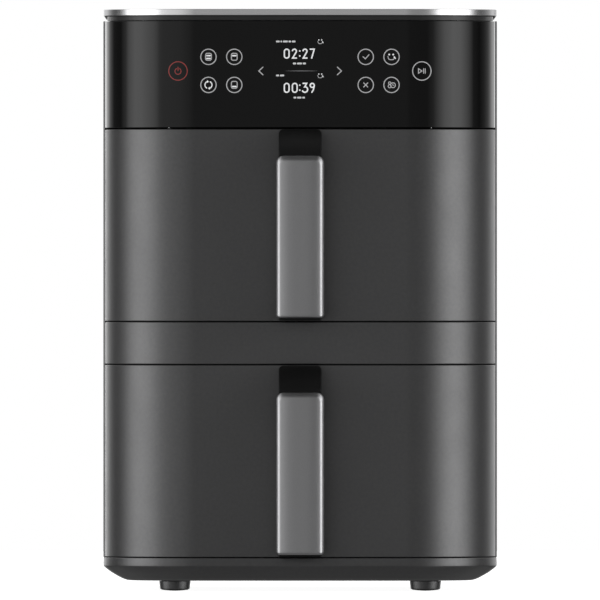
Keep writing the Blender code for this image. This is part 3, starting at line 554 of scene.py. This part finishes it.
def build_sides():
    """Each flank is a folded sheet. Its front edge is a long bevel that turns into the flat side."""
    x, y = REAR_CENTRE
    panel_low, panel_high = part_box("left_side_panel")
    start, fold = panel_low.y, 0.0012
    outline = section(0, panel_low.z, fold, panel_high.z, (0.0004, 0.0003), 3)
    bevel, turn = 0.0053, 0.00085
    first, last = 54, 42
    first_sine, last_sine = math.sin(math.radians(first)), math.sin(math.radians(last))
    flat_y = start + bevel * (first_sine - last_sine) + turn * last_sine
    turn_centre = Vector((HALF_WIDTH - turn, flat_y))
    bevel_centre = turn_centre + (turn - bevel) * Vector((math.cos(math.radians(last)), -last_sine))
    edge = arc_path(bevel_centre, -first, -last, bevel, 6)[:-1] + arc_path(turn_centre, -last, 0, turn, 6)
    # The sheet's inner side there is laid out apart, because it would fold over itself at the sharp turn.
    inner = [Vector((HALF_WIDTH - fold + 0.00002, start + 0.0009 + 0.5 * (p.y - start))) for p, _ in edge]
    edge = [(p, (p - q) / fold) for (p, _), q in zip(edge, inner)]
    flat = [(Vector((HALF_WIDTH, flat_y + (y - flat_y) * i / 8)), Vector((1, 0))) for i in range(1, 8)]
    half = edge + flat + arc_path((x, y), 0, 90, REAR_RADIUS, CORNER_STEPS)
    for name, node, side in (("left_flank", "left_side_panel", -1), ("right_flank", "right_side_panel", 1)):
        path = [(Vector((side * p.x, p.y)), Vector((side * n.x, n.y))) for p, n in half]
        finish_piece(sweep(name, path, outline), "housing", "charcoal_paint", [node])


# The base pan's undercut: (inset from the footprint, height), from the rim down.
UNDERCUT = (
    (0.0024, 0.0236), (0.0005, 0.0236), (0.0002, 0.0233), (0.00005, 0.0200), (0.00005, 0.0181), (0.0002, 0.0176),
    (0.0007, 0.0170), (0.0022, 0.0157), (0.0041, 0.0143), (0.0060, 0.0129), (0.0084, 0.0115), (0.0107, 0.0102),
    (0.0122, 0.0094), (0.0136, 0.0087), (0.0152, 0.0081), (0.0172, 0.0075), (0.0195, 0.0073), (0.0300, 0.0073),
)
# A foot's cup and its domed pad: (radius, height).
FOOT_CUP = (
    (0, 0.0070), (0.0108, 0.0070), (0.0112, 0.0067), (0.0110, 0.0050), (0.0106, 0.0018), (0.0104, 0.0013),
    (0.0100, 0.0011), (0, 0.0011),
)
FOOT_PAD = (
    (0, 0.00105), (0.0094, 0.00105), (0.0097, 0.0009), (0.0090, 0.00068), (0.0070, 0.00045), (0.0050, 0.00025),
    (0.0030, 0.00010), (0.0015, 0.00003), (0, 0),
)
REAR_FOOT_SHARE = 0.946  # slimmer, so that the front feet hide the rear ones, as in the photo


def build_base():
    loops = [[(p.x, p.y, z) for p, _ in whole_path(inset)] for inset, z in ((0.0026, 0.0208), *UNDERCUT)]
    finish_piece(loft("base_skirt", loops), "housing", "charcoal_paint", ["base_pan"])
    for name in ("foot_front_left", "foot_front_right", "foot_rear_left", "foot_rear_right"):
        low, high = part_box(name)
        centre = ((low.x + high.x) / 2, (low.y + high.y) / 2, 0)
        slim = REAR_FOOT_SHARE if "rear" in name else 1
        cup = turned(name + "_cup", [(r * slim, z) for r, z in FOOT_CUP], centre)
        finish_piece(cup, "housing", "charcoal_paint")
        pad = turned(name + "_pad", [(r * slim, z) for r, z in FOOT_PAD], centre)
        finish_piece(pad, "housing", "black_rubber", [name])


def build_top():
    steps = 32
    low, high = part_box("top_trim_band")
    outline = section(0, low.z, 0.0019, high.z, (0.0004, 0.0003), 4)
    band = sweep("lid_band", whole_path(0.0003, steps), outline, ring=True)
    finish_piece(band, "housing", "brushed_silver", ["top_trim_band"])

    low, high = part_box("top_shadow_ring")
    outline = section(0, low.z - 0.0002, 0.0061, high.z, (0.0001, 0.0001), 2)
    ring = sweep("shadow_ring", whole_path(0.0029, steps), outline, ring=True)
    finish_piece(ring, "housing", "black_plastic", ["top_shadow_ring"], material=RING_FINISH)

    low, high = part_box("top_panel")
    top, groove = high.z, high.z - 0.0004
    rows = (
        # inset from the deck's edge, height
        (0, low.z), (0, top - 0.0006), (0.0002, top - 0.0002), (0.0007, top),
        (0.0120, top), (0.0140, groove), (0.0150, groove), (0.0170, top),
    )
    loops = [[(p.x, p.y, z) for p, _ in whole_path(0.0025 + inset, steps)] for inset, z in rows]
    finish_piece(loft("lid_deck", loops), "housing", "top_plastic", ["top_panel"])


def middle_of(node):
    """A node's middle in x and z."""
    low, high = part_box(node)
    return (low.x + high.x) / 2, (low.z + high.z) / 2


def build_rear():
    low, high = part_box("rear_cover")
    screws = [node for node in NODES if node.startswith("rear_screw")]
    gland = middle_of("cord_gland")
    holes = [circle(gland, 0.0079)] + [circle(middle_of(node), 0.0020, 16) for node in screws]
    slot_half, slot_rise, slot_pitch, slots_each = 0.0600, 0.0022, 0.0110, 6
    for zone_low in ZONES.values():
        for i in range(slots_each):
            z = zone_low + FAN_AXIS + (i - (slots_each - 1) / 2) * slot_pitch
            holes.append(slot_outline((-slot_half, z - slot_rise), (slot_half, z + slot_rise)))
    edge = rounded_rectangle((-high.x, low.z), (high.x, high.z), 0.003)
    cover = plate("rear_grille", [edge, *holes], low.y, high.y, "Y", 0.0005, 3)
    finish_piece(cover, "housing", "black_plastic", ["rear_cover"])

    profile = [(0, 0.0018), (0.0014, 0.00175), (0.0024, 0.0014), (0.0031, 0.0008), (0.0034, 0.0003),
               (0.0016, 0.0003), (0.0016, -0.0100), (0, -0.0100)]
    arm, skew = Matrix.Diagonal((0.0036, 0.0016, 0.0007, 1)), 0.4
    for node in screws:
        x, z = middle_of(node)
        centre = Vector((x, REAR_FACE_Y, z))
        screw = turned(node + "_head", profile, centre, "Y", 32)
        shape = bmesh.new()
        for turn in (0, math.pi / 2):
            place = Matrix.Translation(centre + Vector((0, 0.0017, 0))) @ Matrix.Rotation(turn + skew, 4, "Y")
            bmesh.ops.create_cube(shape, size=1, matrix=place @ arm)
        boolean(screw, solid_object(node + "_cross", shape), "DIFFERENCE", use_self=True)
        finish_piece(screw, "housing", "plated_steel", [node])

    profile = [(0.0040, 0.0012), (0.0044, 0.0016), (0.0090, 0.0016), (0.0100, 0.0010), (0.0104, 0.0003),
               (0.0075, 0.0003), (0.0075, -0.0120), (0.0040, -0.0120)]
    obj = turned("inlet_gland", profile, (gland[0], REAR_FACE_Y, gland[1]), "Y")
    finish_piece(obj, "housing", "black_rubber", ["cord_gland"])


# ---- handles


def build_handle_core(zone, low):
    """Shoulder, nose, chin and finger gap in one outline seen from the side, then rounded as seen from the front."""
    face = FACE_Y - 0.0003
    core_low, core_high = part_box(f"{zone}_handle_core")
    grip_low, grip_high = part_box(f"{zone}_handle_grip")
    step_y, nose_y = grip_high.y + 0.0003, core_low.y + 0.0008  # the nose stays within the grip
    shoulder_y, shoulder_z = face - 0.0030, low + 0.1120
    length, rise = 0.0345, core_high.z - shoulder_z
    last = math.asin((shoulder_y - step_y) / length)
    turns = [last * i / 16 for i in range(17)]
    shoulder = [(shoulder_y - length * math.sin(t), shoulder_z + rise * math.cos(t)) for t in turns]
    nose_top, nose_low = grip_high.z - 0.0032, grip_low.z + 0.0032
    nose = [(step_y, nose_top), (nose_y, nose_top), (nose_y, nose_low), (step_y, nose_low)]
    corner, gap_y, gap_low, gap_high = 0.0050, face - 0.0220, low + 0.0130, low + 0.1040
    gap = [(face, gap_low), *arc((gap_y, gap_low + corner), corner, 270, 180, 8),
           *arc((gap_y, gap_high - corner), corner, 180, 90, 8), (face, gap_high)]
    outline = [(face, core_high.z), *shoulder, *nose, (step_y, core_low.z), (face, core_low.z), *gap]
    core = plate(f"{zone}_handle_body", [outline], core_low.x, core_high.x, "X", 0.0010, 3)
    front = rounded_rectangle((core_low.x, low - 0.02), (core_high.x, core_high.z), 0.0034, 10)
    boolean(core, plate("clip", [front], nose_y - 0.01, face + 0.01, "Y", 0.0001, 1), "INTERSECT")
    finish_piece(core, f"{zone}_drawer", "black_plastic", [f"{zone}_handle_core"], material=CORE_FINISH, angle=40)


# How far the grip's top edge is drawn in, row by row from its back to its front.
GRIP_ROOF = [i * MM for i in (0, 0.08, 0.17, 0.28, 0.46, 1.25, 2.02, 2.67, 3.34, 4.02, 4.70)]


def build_grip(zone):
    """A shallow tray whose front falls away more and more towards its long edges."""
    low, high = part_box(f"{zone}_handle_grip")
    half = high.x
    crown, edge, low_edge, wall = 0.0022, 0.0030, 0.0018, 0.0010
    low_corner, high_corner, steps, centre_inset = 0.0027, 0.0052, 8, 0.0155

    def ring_at(inset, y_of, below=None, above=None):
        """below and above: insets of the bottom and the top edge, where they aren't those of the long edges."""
        low_z = low.z + (inset if below is None else below)
        high_z = high.z - (inset if above is None else above)
        side = half - inset
        r, s = max(low_corner - inset, 0.0006), max(high_corner - inset, 0.0006)
        arcs = [arc((r - side, low_z + r), r, 180, 270, steps), arc((side - r, low_z + r), r, 270, 360, steps),
                arc((side - s, high_z - s), s, 0, 90, steps), arc((s - side, high_z - s), s, 90, 180, steps)]
        bottom, top = between(arcs[0][-1], arcs[1][0], 12), between(arcs[2][-1], arcs[3][0], 12)
        return [(x, y_of(x), z) for x, z in arcs[0] + bottom + arcs[1] + arcs[2] + top + arcs[3]]

    def crowned(x, back=0.0):
        return low.y + back + crown * (x / half) ** 4

    def inside(x):
        return crowned(x, wall)

    def rear(x):
        return high.y

    outer = [ring_at(0, rear)]
    for i, roof in enumerate(GRIP_ROOF):
        t = math.radians(9 * i)
        rounded = 1 - math.cos(t)
        outer.append(ring_at(edge * rounded, lambda x, t=t: crowned(x, edge * (1 - math.sin(t))),
                             low_edge * rounded, roof))
    for inset in (0.0038, 0.0048, 0.0056, 0.0070, 0.0086, 0.0104, 0.0124, 0.0144, centre_inset):
        outer.append(ring_at(inset, crowned, inset - edge + low_edge, inset - edge + GRIP_ROOF[-1]))
    inner = [ring_at(centre_inset, inside), ring_at(0.0078, inside), ring_at(wall + 0.0005, inside),
             ring_at(wall, lambda x: crowned(x, wall + 0.0006)), ring_at(wall, rear)]
    shape = bmesh.new()
    skins = [[[shape.verts.new(p) for p in row] for row in rows] for rows in (outer, inner)]
    for skin in skins:
        for a, b in zip(skin, skin[1:]):
            bridge(shape, a, b)
    shape.faces.new(skins[0][-1])
    shape.faces.new(skins[1][0])
    bridge(shape, skins[0][0], skins[1][-1])
    grip = solid_object(f"{zone}_grip_cover", shape)
    finish_piece(grip, f"{zone}_drawer", "satin_silver", [f"{zone}_handle_grip"], weighted=False)


# ---- drawers inside


def tray_outline(node, flange, corner, steps):
    """A function that gives a node's rounded footprint within its flange, drawn in by an inset, at a height."""
    low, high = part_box(node)
    half, front, rear = high.x - flange, low.y + flange, high.y - flange

    def outline(inset, z):
        radius = max(corner - inset, 0.001)
        points = rounded_rectangle((inset - half, front + inset), (half - inset, rear - inset), radius, steps)
        return [(x, y, z) for x, y in points]

    return outline


def build_basket(zone):
    """A drawn sheet: up the outside from the floor, over the rim's flange and down the inside."""
    node = f"{zone}_basket"
    low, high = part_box(node)
    flange, sheet, draft, fillet, neck, rim_bend, chip = 0.0055, 0.0008, 0.0035, 0.0060, 0.0014, 0.0024, 0.0003
    floor, rim = low.z, high.z - sheet
    wall_low, wall_height = floor + fillet, rim - 0.0020 - floor - fillet
    outline = tray_outline(node, flange, 0.0200, 10)
    rows = []
    for i in range(7):
        t = math.radians(15 * i)
        rows.append(outline(draft + fillet * (1 - math.sin(t)), floor + fillet * (1 - math.cos(t))))
    for i in range(1, 6):
        t = i / 6
        rows.append(outline(draft * (1 - t), wall_low + wall_height * t))
    for i in range(5):
        t = math.radians(22.5 * i)
        rows.append(outline(-neck * (1 - math.cos(t)), rim - neck * (1 - math.sin(t))))
    rows += [outline(chip - flange, rim), outline(-flange, rim + chip), outline(-flange, rim + 0.0005),
             outline(chip - flange, rim + sheet)]
    for i in range(6):
        t = math.radians(18 * i)
        rows.append(outline(rim_bend * math.sin(t) - 0.0012, rim + sheet - rim_bend * (1 - math.cos(t))))
    for i in range(1, 6):
        t = 1 - i / 6
        rows.append(outline(draft * (1 - t) + sheet, wall_low + wall_height * t))
    for i in range(7):
        t = math.radians(90 - 15 * i)
        rows.append(outline(draft + sheet + (fillet - sheet) * (1 - math.sin(t)),
                            floor + sheet + (fillet - sheet) * (1 - math.cos(t))))
    finish_piece(loft(f"{zone}_basket_tub", rows), f"{zone}_drawer", "nonstick", [node], angle=45)


def build_crisper(zone):
    """A plate with a skirt, from the edge of its top down the outside and up the inside, and its holes."""
    node = f"{zone}_crisper_plate"
    low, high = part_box(node)
    top, wall, bend = high.z, 0.0015, 0.0050
    turns = [math.radians(15 * i) for i in range(7)]
    outside, inside = (
        [((1 - math.sin(t)) * (bend - skin) + skin, top - skin - (bend - skin) * (1 - math.cos(t))) for t in turns]
        + [(skin, low.z)]
        for skin in (0, wall)
    )
    outline = tray_outline(node, 0, 0.0220, 8)
    pan = loft(f"{zone}_crisper", [outline(inset, z) for inset, z in outside + inside[::-1]])
    across, along, stagger = 0.0440, 0.0320, 0.0110
    shape = bmesh.new()
    for row in range(5):
        for column in range(4):
            place = (across * (column - 1.5) + stagger * (-1) ** row, (low.y + high.y) / 2 + along * (row - 2), top)
            bmesh.ops.create_cone(shape, cap_ends=True, segments=28, radius1=0.0058, radius2=0.0062, depth=0.006,
                                  matrix=Matrix.Translation(place))
    boolean(pan, solid_object("drills", shape), "DIFFERENCE")
    finish_piece(pan, f"{zone}_plate", "nonstick", [node], angle=40)


def build_guard(zone, low):
    """A sheet with rings of round holes over the fan and slots to both sides."""
    a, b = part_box(f"{zone}_fan_guard")
    middle = low + FAN_AXIS
    holes = []
    for radius, count in ((0.0, 1), (0.0175, 6), (0.0350, 12)):
        for i in range(count):
            t = 2 * math.pi * i / count
            holes.append(circle((radius * math.cos(t), middle + radius * math.sin(t)), 0.0056))
    slot_rise, slot_pitch, slots_each = 0.0050, 0.0240, 4
    for side in (-1, 1):
        left, right = sorted((side * 0.0700, side * 0.1120))
        for i in range(slots_each):
            z = middle + (i - (slots_each - 1) / 2) * slot_pitch
            holes.append(slot_outline((left, z - slot_rise), (right, z + slot_rise)))
    edge = rounded_rectangle((a.x, a.z), (b.x, b.z), 0.002, 4)
    guard = plate(f"{zone}_heater_guard", [edge, *holes], a.y, b.y, "Y", 0.0003, 2)
    finish_piece(guard, "housing", "plated_steel", [f"{zone}_fan_guard"])


def build_seal(zone, low):
    a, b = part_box(f"{zone}_door_seal")
    half, bottom, top = 0.1228, low + 0.0075, low + 0.1275
    outer = rounded_rectangle((a.x, a.z), (b.x, b.z), 0.006)
    inner = rounded_rectangle((-half, bottom), (half, top), 0.003)
    seal = plate(f"{zone}_seal_lip", [outer, inner], a.y, b.y, "Y", 0.0008, 3)
    finish_piece(seal, f"{zone}_drawer", "grey_silicone", [f"{zone}_door_seal"])


# ---- touch panel graphics


# How far the print stands on the glass, in metres. The section from Print on is in millimetres.
PROUD = 0.00006


def panel_y(x):
    """Front surface of the glossy panel at x, in metres."""
    over = abs(x) - FRONT_CENTRE[0]
    if over <= 0:
        return FACE_Y
    radius = FRONT_RADIUS - PANEL_INSET
    return FRONT_CENTRE[1] - math.sqrt(radius**2 - over**2)


def ribbon(points, width, closed=False):
    """Left and right edges of a stroke through the points, mitred at its corners."""
    points = [Vector(p) for p in points]
    count = len(points)
    edges = []
    for i, point in enumerate(points):
        before = points[i - 1] if closed or i else None
        after = points[(i + 1) % count] if closed or i < count - 1 else None
        directions = []
        if before is not None:
            directions.append((point - before).normalized())
        if after is not None:
            directions.append((after - point).normalized())
        along = sum(directions, Vector((0, 0)))
        along = along.normalized() if along.length > 1e-6 else directions[0]
        across = Vector((-along.y, along.x))
        spread = 1 / max(abs(across.dot(Vector((-directions[0].y, directions[0].x)))), 0.35)
        edges.append((point + across * width / 2 * spread, point - across * width / 2 * spread))
    return edges


class Print:
    """Flat lit graphics laid on the glossy panel's surface, gathered into one mesh."""

    def __init__(self):
        self.shape = bmesh.new()

    def vertex(self, u, v):
        return self.shape.verts.new((u * MM, panel_y(u * MM) - PROUD, v * MM))

    def stroke(self, points, width, closed=False):
        rows = [(self.vertex(*a), self.vertex(*b)) for a, b in ribbon(points, width, closed)]
        pairs = list(zip(rows, rows[1:])) + ([(rows[-1], rows[0])] if closed else [])
        for (a, b), (c, d) in pairs:
            self.shape.faces.new((a, b, d, c))
        if not closed:
            for end in (points[0], points[-1]):
                self.disc(end, width / 2, 12)

    def disc(self, centre, radius, steps=20):
        self.shape.faces.new([self.vertex(*p) for p in circle(centre, radius, steps)])

    def ring(self, centre, radius, width, steps=64):
        self.stroke(circle(centre, radius, steps), width, True)

    def patch(self, outline):
        self.shape.faces.new([self.vertex(*p) for p in outline])

    def finish(self, name, material):
        for face in self.shape.faces:
            face.normal_update()
            if face.normal.y > 0:
                face.normal_flip()
        finish_piece(mesh_object(name, self.shape), "housing", "gloss_black", material=material, weighted=False)


def shifted(centre, points):
    return [(centre[0] + u, centre[1] + v) for u, v in points]


# Heights of the rows of keys, and the strokes' widths.
ROW_TOP, ROW_MID, ROW_LOW = 379.0, 369.0, 359.1
LINE, THIN, RED_LINE = 0.68, 0.62, 0.66
KEYS = {
    "both": (-65.0, ROW_TOP), "top": (-46.7, ROW_TOP), "link": (-65.0, ROW_LOW), "bottom": (-46.7, ROW_LOW),
    "tick": (46.5, ROW_TOP), "food": (64.8, ROW_TOP), "cross": (46.5, ROW_LOW), "clock": (64.8, ROW_LOW),
}


def digit_strokes(symbol, width, height):
    """Strokes of 0, 2, 3, 7 or 9 in a box from (0, 0) to (width, height), each with whether it is closed."""
    w, h, r = width, height, width / 2
    if symbol == "0":
        return [(arc((r, h - r), r, 0, 180, 12) + arc((r, r), r, 180, 360, 12), True)]
    if symbol == "2":
        return [(arc((r, h - r), r, 165, -20, 12) + [(0.06 * w, 0), (w, 0)], False)]
    if symbol == "7":
        return [([(0, h), (w, h), (0.36 * w, 0)], False)]
    if symbol == "3":
        return [([(0.04 * w, h), (w * 0.92, h), (w * 0.42, h * 0.60)]
                 + arc((r * 0.96, h * 0.31), h * 0.31, 78, -150, 14), False)]
    top = h - r
    tail = [(w * 0.99, top - 0.08 * h), (w * 0.80, h * 0.30), (w * 0.42, 0)]
    return [(circle((r, top), r, 24), True), (tail, False)]


def draw_food(white, soft, centre, k):
    """A bowl with two morsels over it and a spoon at its side."""
    for u in (-1.65, 1.2):
        white.disc((centre[0] + u * k, centre[1] + 1.65 * k), 0.62 * k, 16)
    bowl = [(-2.6 * k, 0.3 * k)] + arc((-0.9 * k, -0.6 * k), 1.4 * k, 190, 270, 5)
    bowl += arc((0.5 * k, -0.6 * k), 1.4 * k, 270, 330, 5)
    soft.stroke(shifted(centre, bowl), THIN * k)
    spoon = [(1.7, 0.5), (2.4, 0.1), (3.2, -1.3), (2.6, -1.5), (1.5, -0.5)]
    white.patch(shifted(centre, [(u * k, v * k) for u, v in spoon]))


def draw_keys(white, soft, red):
    # power, and play and pause
    x, z = -86.6, ROW_MID
    red.ring((x, z), 6.55, RED_LINE)
    red.stroke(arc((x, z - 0.2), 2.15, 118, 422, 28), RED_LINE)
    red.stroke([(x, z + 0.2), (x, z + 2.7)], RED_LINE)
    x = 86.3
    soft.ring((x, z), 6.55, LINE)
    soft.stroke([(x - 2.4, z + 1.6), (x + 0.1, z), (x - 2.4, z - 1.6)], THIN, True)
    for u in (1.25, 2.40):
        soft.stroke([(x + u, z + 1.6), (x + u, z - 1.6)], THIN)

    # the two blocks of four round keys
    for centre in KEYS.values():
        soft.ring(centre, 5.45, LINE)
    for name in ("both", "top", "bottom"):
        x, z = KEYS[name]
        soft.stroke(rounded_rectangle((x - 2.05, z - 2.4), (x + 2.05, z + 2.5), 1.2, 6), LINE, True)
        for bar, low in (("top", z + 0.35), ("bottom", z - 1.65)):
            if name in ("both", bar):
                white.patch(rounded_rectangle((x - 1.6, low), (x + 1.6, low + 1.0), 0.4, 3))
    for side, start in ((-1, 240), (1, 60)):
        arrow = arc(KEYS["link"], 2.5, start, start - 130, 14)
        white.stroke(arrow, 0.75)
        tip, along = Vector(arrow[-1]), Vector((-1.0, -0.10)) * side
        across = Vector((-along.y, along.x))
        white.patch([tip + way * 1.1 for way in (along, across, -across)])
    soft.stroke(shifted(KEYS["tick"], [(-1.9, 0.1), (-0.3, -1.4), (2.3, 1.5)]), LINE)
    for u in (-1.45, 1.45):
        soft.stroke(shifted(KEYS["cross"], [(u, 1.45), (-u, -1.45)]), LINE)
    draw_food(white, soft, KEYS["food"], 1.0)
    x, z = KEYS["clock"]
    for u, v, radius, steps in ((-1.3, 1.3, 0.85, 24), (-1.3, -0.9, 1.1, 24), (1.0, -0.2, 1.75, 32)):
        soft.ring((x + u, z + v), radius, 0.6, steps)
    soft.stroke(shifted((x, z), [(0.9, 0.7), (0.9, -0.2), (1.6, -0.4)]), 0.45)

    # chevrons
    for side in (-1, 1):
        x = side * 27.9
        back = x - side * 1.5
        soft.stroke([(back, ROW_MID + 2.7), (x + side * 1.4, ROW_MID), (back, ROW_MID - 2.7)], 0.72)


def draw_display(white, mild, soft, dim):
    # two clock readings with a fading line between them
    height, wide, narrow, bold = 6.3, 3.35, 2.85, 0.95
    for digits, base in (("0227", 378.15), ("0039", 353.90)):
        for symbol, start in zip(digits, (-11.20, -5.50, 2.00, 7.15)):
            for points, closed in digit_strokes(symbol, wide if symbol == "0" else narrow, height):
                white.stroke(shifted((start, base), points), bold, closed)
        for share in (0.24, 0.80):
            white.disc((-0.25, base + height * share), 0.56)
    bits, first, step, middle = 20, -11.0, 1.2, ROW_MID + 0.05
    for i in range(bits):
        left, right = first + step * i, first + step * (i + 1)
        half = 0.25 * math.sin(math.pi * (i + 0.5) / bits)
        dim.patch([(left, middle - half), (right, middle - half), (right, middle + half), (left, middle + half)])

    # short dashes where a dish's name and the state of its zone would be shown
    dashes = (
        # start, height of the line, lengths of the dashes
        (-17.1, 389.90, (2.6, 1.2, 3.4, 1.8, 2.6)), (-5.2, 374.30, (2.4, 3.6, 2.2)),
        (-17.1, 365.80, (2.2, 3.0)), (-4.7, 350.10, (2.0, 3.1, 1.9)),
    )
    half, gap = 0.62, 0.55
    for start, z, lengths in dashes:
        for length in lengths:
            mild.patch(rounded_rectangle((start, z - half), (start + length, z + half), 0.5, 3))
            start += length + gap
    for z in (389.80, 365.60):
        draw_food(white, soft, (14.4, z), 0.72)


def build_graphics():
    white, mild, soft, red, dim = Print(), Print(), Print(), Print(), Print()
    draw_keys(white, soft, red)
    draw_display(white, mild, soft, dim)
    white.finish("display_marks", LIT_WHITE)
    mild.finish("label_marks", LIT_MILD)
    soft.finish("key_marks", LIT_GREY)
    red.finish("power_mark", LIT_RED)
    dim.finish("divider_mark", LIT_DIM)


# ---- stage


def build_stage():
    """A pale floor. The camera sees it lifted almost to white; gloss on the object doesn't see it at all."""
    radius, below, lift = 3.0, 0.0002, 0.95
    shape = bmesh.new()
    bmesh.ops.create_circle(shape, cap_ends=True, segments=96, radius=radius)
    bmesh.ops.translate(shape, vec=(0, 0, -below), verts=shape.verts)
    floor = mesh_object("floor", shape)
    material = bpy.data.materials.new("pale_floor")
    material.use_nodes = True
    nodes = Nodes(material.node_tree)
    seen = nodes.add("ShaderNodeLightPath").outputs["Is Camera Ray"]
    sockets = {
        "Base Color": (0.70, 0.70, 0.70, 1), "Roughness": 1.0, "Specular IOR Level": 0.0,
        "Emission Color": (1, 1, 1, 1), "Emission Strength": nodes.math("MULTIPLY", seen, lift),
    }
    for name, value in sockets.items():
        nodes.feed(nodes.tree.nodes["Principled BSDF"].inputs[name], value)
    floor.visible_glossy = False
    floor.data.materials.append(material)
    floor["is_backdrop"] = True


# Radiance of the studio around the horizon: (degrees from the front, level), down each side.
LEFT_LIGHT = (
    (0, 0.22), (6, 0.30), (19, 0.44), (32, 0.48), (41, 0.50), (46, 0.60), (50, 0.95), (55, 1.24), (64, 1.50),
    (73, 1.73), (83, 1.65), (94, 0.98), (100, 0.36), (110, 0.07), (119, 0.06), (128, 0.07), (140, 0.36),
    (150, 0.84), (158, 0.95), (163, 1.30), (169, 1.30), (174, 0.40), (180, 0.20),
)
RIGHT_LIGHT = (
    (0, 0.20), (6, 0.16), (19, 0.15), (28, 0.15), (36, 0.32), (44, 0.95), (52, 1.60), (64, 2.05), (75, 1.80),
    (87, 0.93), (98, 0.14), (110, 0.05), (122, 0.13), (133, 0.27), (149, 0.80), (158, 0.62), (163, 0.95),
    (169, 0.95), (174, 0.30), (180, 0.20),
)
STUDIO_LEVEL = 1.36
# The same by height, from straight down (0) over the horizon (0.5) to straight up (1): the share of the side light
# that is left there, the ceiling's own light, and the light that the floor throws up.
HEIGHT_FADE = (
    (0, 0.11), (0.24, 0.12), (0.30, 0.15), (0.36, 0.28), (0.42, 0.78), (0.46, 1.0), (0.62, 1.0),
    (0.70, 0.50), (0.78, 0.14), (0.90, 0.05), (1, 0.05),
)
CEILING = ((0, 0), (0.70, 0), (0.80, 0.50), (0.93, 0.80), (1, 0.75))
FLOOR_LIGHT = ((0, 0.06), (0.10, 0.11), (0.25, 0.14), (0.33, 0.06), (0.38, 0))
LOW_BEHIND = 0.92  # the share of the side light that is kept off low down behind
PAPER = 0.25  # the bright paper straight behind


def build_world():
    """A white studio: softboxes to both sides, dark screens beyond, bright paper behind, dim towards the front."""
    world = bpy.data.worlds.new("studio")
    bpy.context.scene.world = world
    world.use_nodes = True
    nodes = Nodes(world.node_tree)
    nodes.tree.nodes.clear()
    maths = nodes.math

    def ramp(factor, stops, scale, span=1):
        """A curve through (place, level) stops. A colour ramp only goes up to 1, hence the scale."""
        node = nodes.add("ShaderNodeValToRGB", {"Fac": factor})
        elements = node.color_ramp.elements
        while len(elements) > 1:
            elements.remove(elements[-1])
        for i, (place, value) in enumerate(stops):
            element = elements[0] if i == 0 else elements.new(place / span)
            element.position = place / span
            element.color = (value / scale,) * 3 + (1,)
        return maths("MULTIPLY", node.outputs["Color"], scale)

    def smooth(value, low, high):
        inputs = {"Value": value, "From Min": low, "From Max": high}
        return nodes.add("ShaderNodeMapRange", inputs, interpolation_type="SMOOTHSTEP").outputs["Result"]

    def mix(factor, a, b):
        return nodes.add("ShaderNodeMix", {"Factor": factor, "A": a, "B": b}, data_type="FLOAT").outputs["Result"]

    way = nodes.add("ShaderNodeSeparateXYZ", {0: nodes.add("ShaderNodeTexCoord").outputs["Generated"]})
    x, y, z = way.outputs
    turn = maths("DIVIDE", maths("ABSOLUTE", maths("ARCTAN2", x, maths("MULTIPLY", y, -1.0))), math.pi)
    around = mix(smooth(x, -0.12, 0.12), ramp(turn, LEFT_LIGHT, 2.5, 180), ramp(turn, RIGHT_LIGHT, 2.5, 180))
    height = maths("MULTIPLY", maths("ADD", z, 1.0), 0.5)
    low_behind = maths("MULTIPLY", smooth(y, 0.20, 0.70), smooth(maths("MULTIPLY", z, -1.0), 0.02, 0.30))
    kept = maths("SUBTRACT", 1.0, maths("MULTIPLY", low_behind, LOW_BEHIND))
    fade = maths("MULTIPLY", ramp(height, HEIGHT_FADE, 1.0), kept)
    above = maths("MULTIPLY", ramp(height, CEILING, 2.0), smooth(y, -0.30, 0.40))
    behind = maths("MULTIPLY", smooth(y, 0.955, 0.985), PAPER)
    level = maths("ADD", maths("MULTIPLY", around, fade), maths("ADD", above, behind))
    level = maths("ADD", level, ramp(height, FLOOR_LIGHT, 1.0))
    seen = nodes.add("ShaderNodeLightPath").outputs["Is Camera Ray"]
    strength = mix(seen, maths("MULTIPLY", level, STUDIO_LEVEL), 1.0)
    background = nodes.add("ShaderNodeBackground", {"Color": (1, 1, 1, 1), "Strength": strength})
    nodes.add("ShaderNodeOutputWorld", {"Surface": background.outputs[0]})


def build_camera():
    """Level and straight on, from so far away that hardly anything converges."""
    data = bpy.data.cameras.new("camera")
    data.lens = 1650
    data.sensor_width = 36
    data.clip_start, data.clip_end = 1, 100
    # The camera sees this width in the plane of the object's bent front.
    width, plane_y, centre_x, centre_z = 0.42595, -0.1380, -0.0001, 0.20660
    camera = new_object("camera", data)
    camera.location = (centre_x, plane_y - width * data.lens / data.sensor_width, centre_z)
    camera.rotation_euler = (math.pi / 2, 0, 0)
    bpy.context.scene.camera = camera


# ---- all together


slots = {part["node"]: part["material_slot"] for part in frame["record"]["subparts"]}
for name, node in NODES.items():
    node.data.materials.clear()
    node.data.materials.append(MATERIALS[slots[name]])
    softened = node.modifiers.new("edges", "BEVEL")
    softened.width = 0.0003
    softened.segments = 2
    softened.limit_method = "ANGLE"
    softened.angle_limit = math.radians(50)

build_fronts()
build_sides()
build_base()
build_top()
build_rear()
for zone, low in ZONES.items():
    build_handle_core(zone, low)
    build_grip(zone)
for zone in ZONES:
    build_basket(zone)
    build_crisper(zone)
for zone, low in ZONES.items():
    build_guard(zone, low)
for zone, low in ZONES.items():
    build_seal(zone, low)
build_graphics()
build_stage()
build_world()
build_camera()

view = bpy.context.scene.view_settings
view.view_transform = "Standard"
view.look = "None"
view.exposure = 0.0
view.gamma = 1.0

boxes = {"cad": CAD_BOX, "visual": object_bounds()}
{name: [list(corner) for corner in corners] for name, corners in boxes.items()}
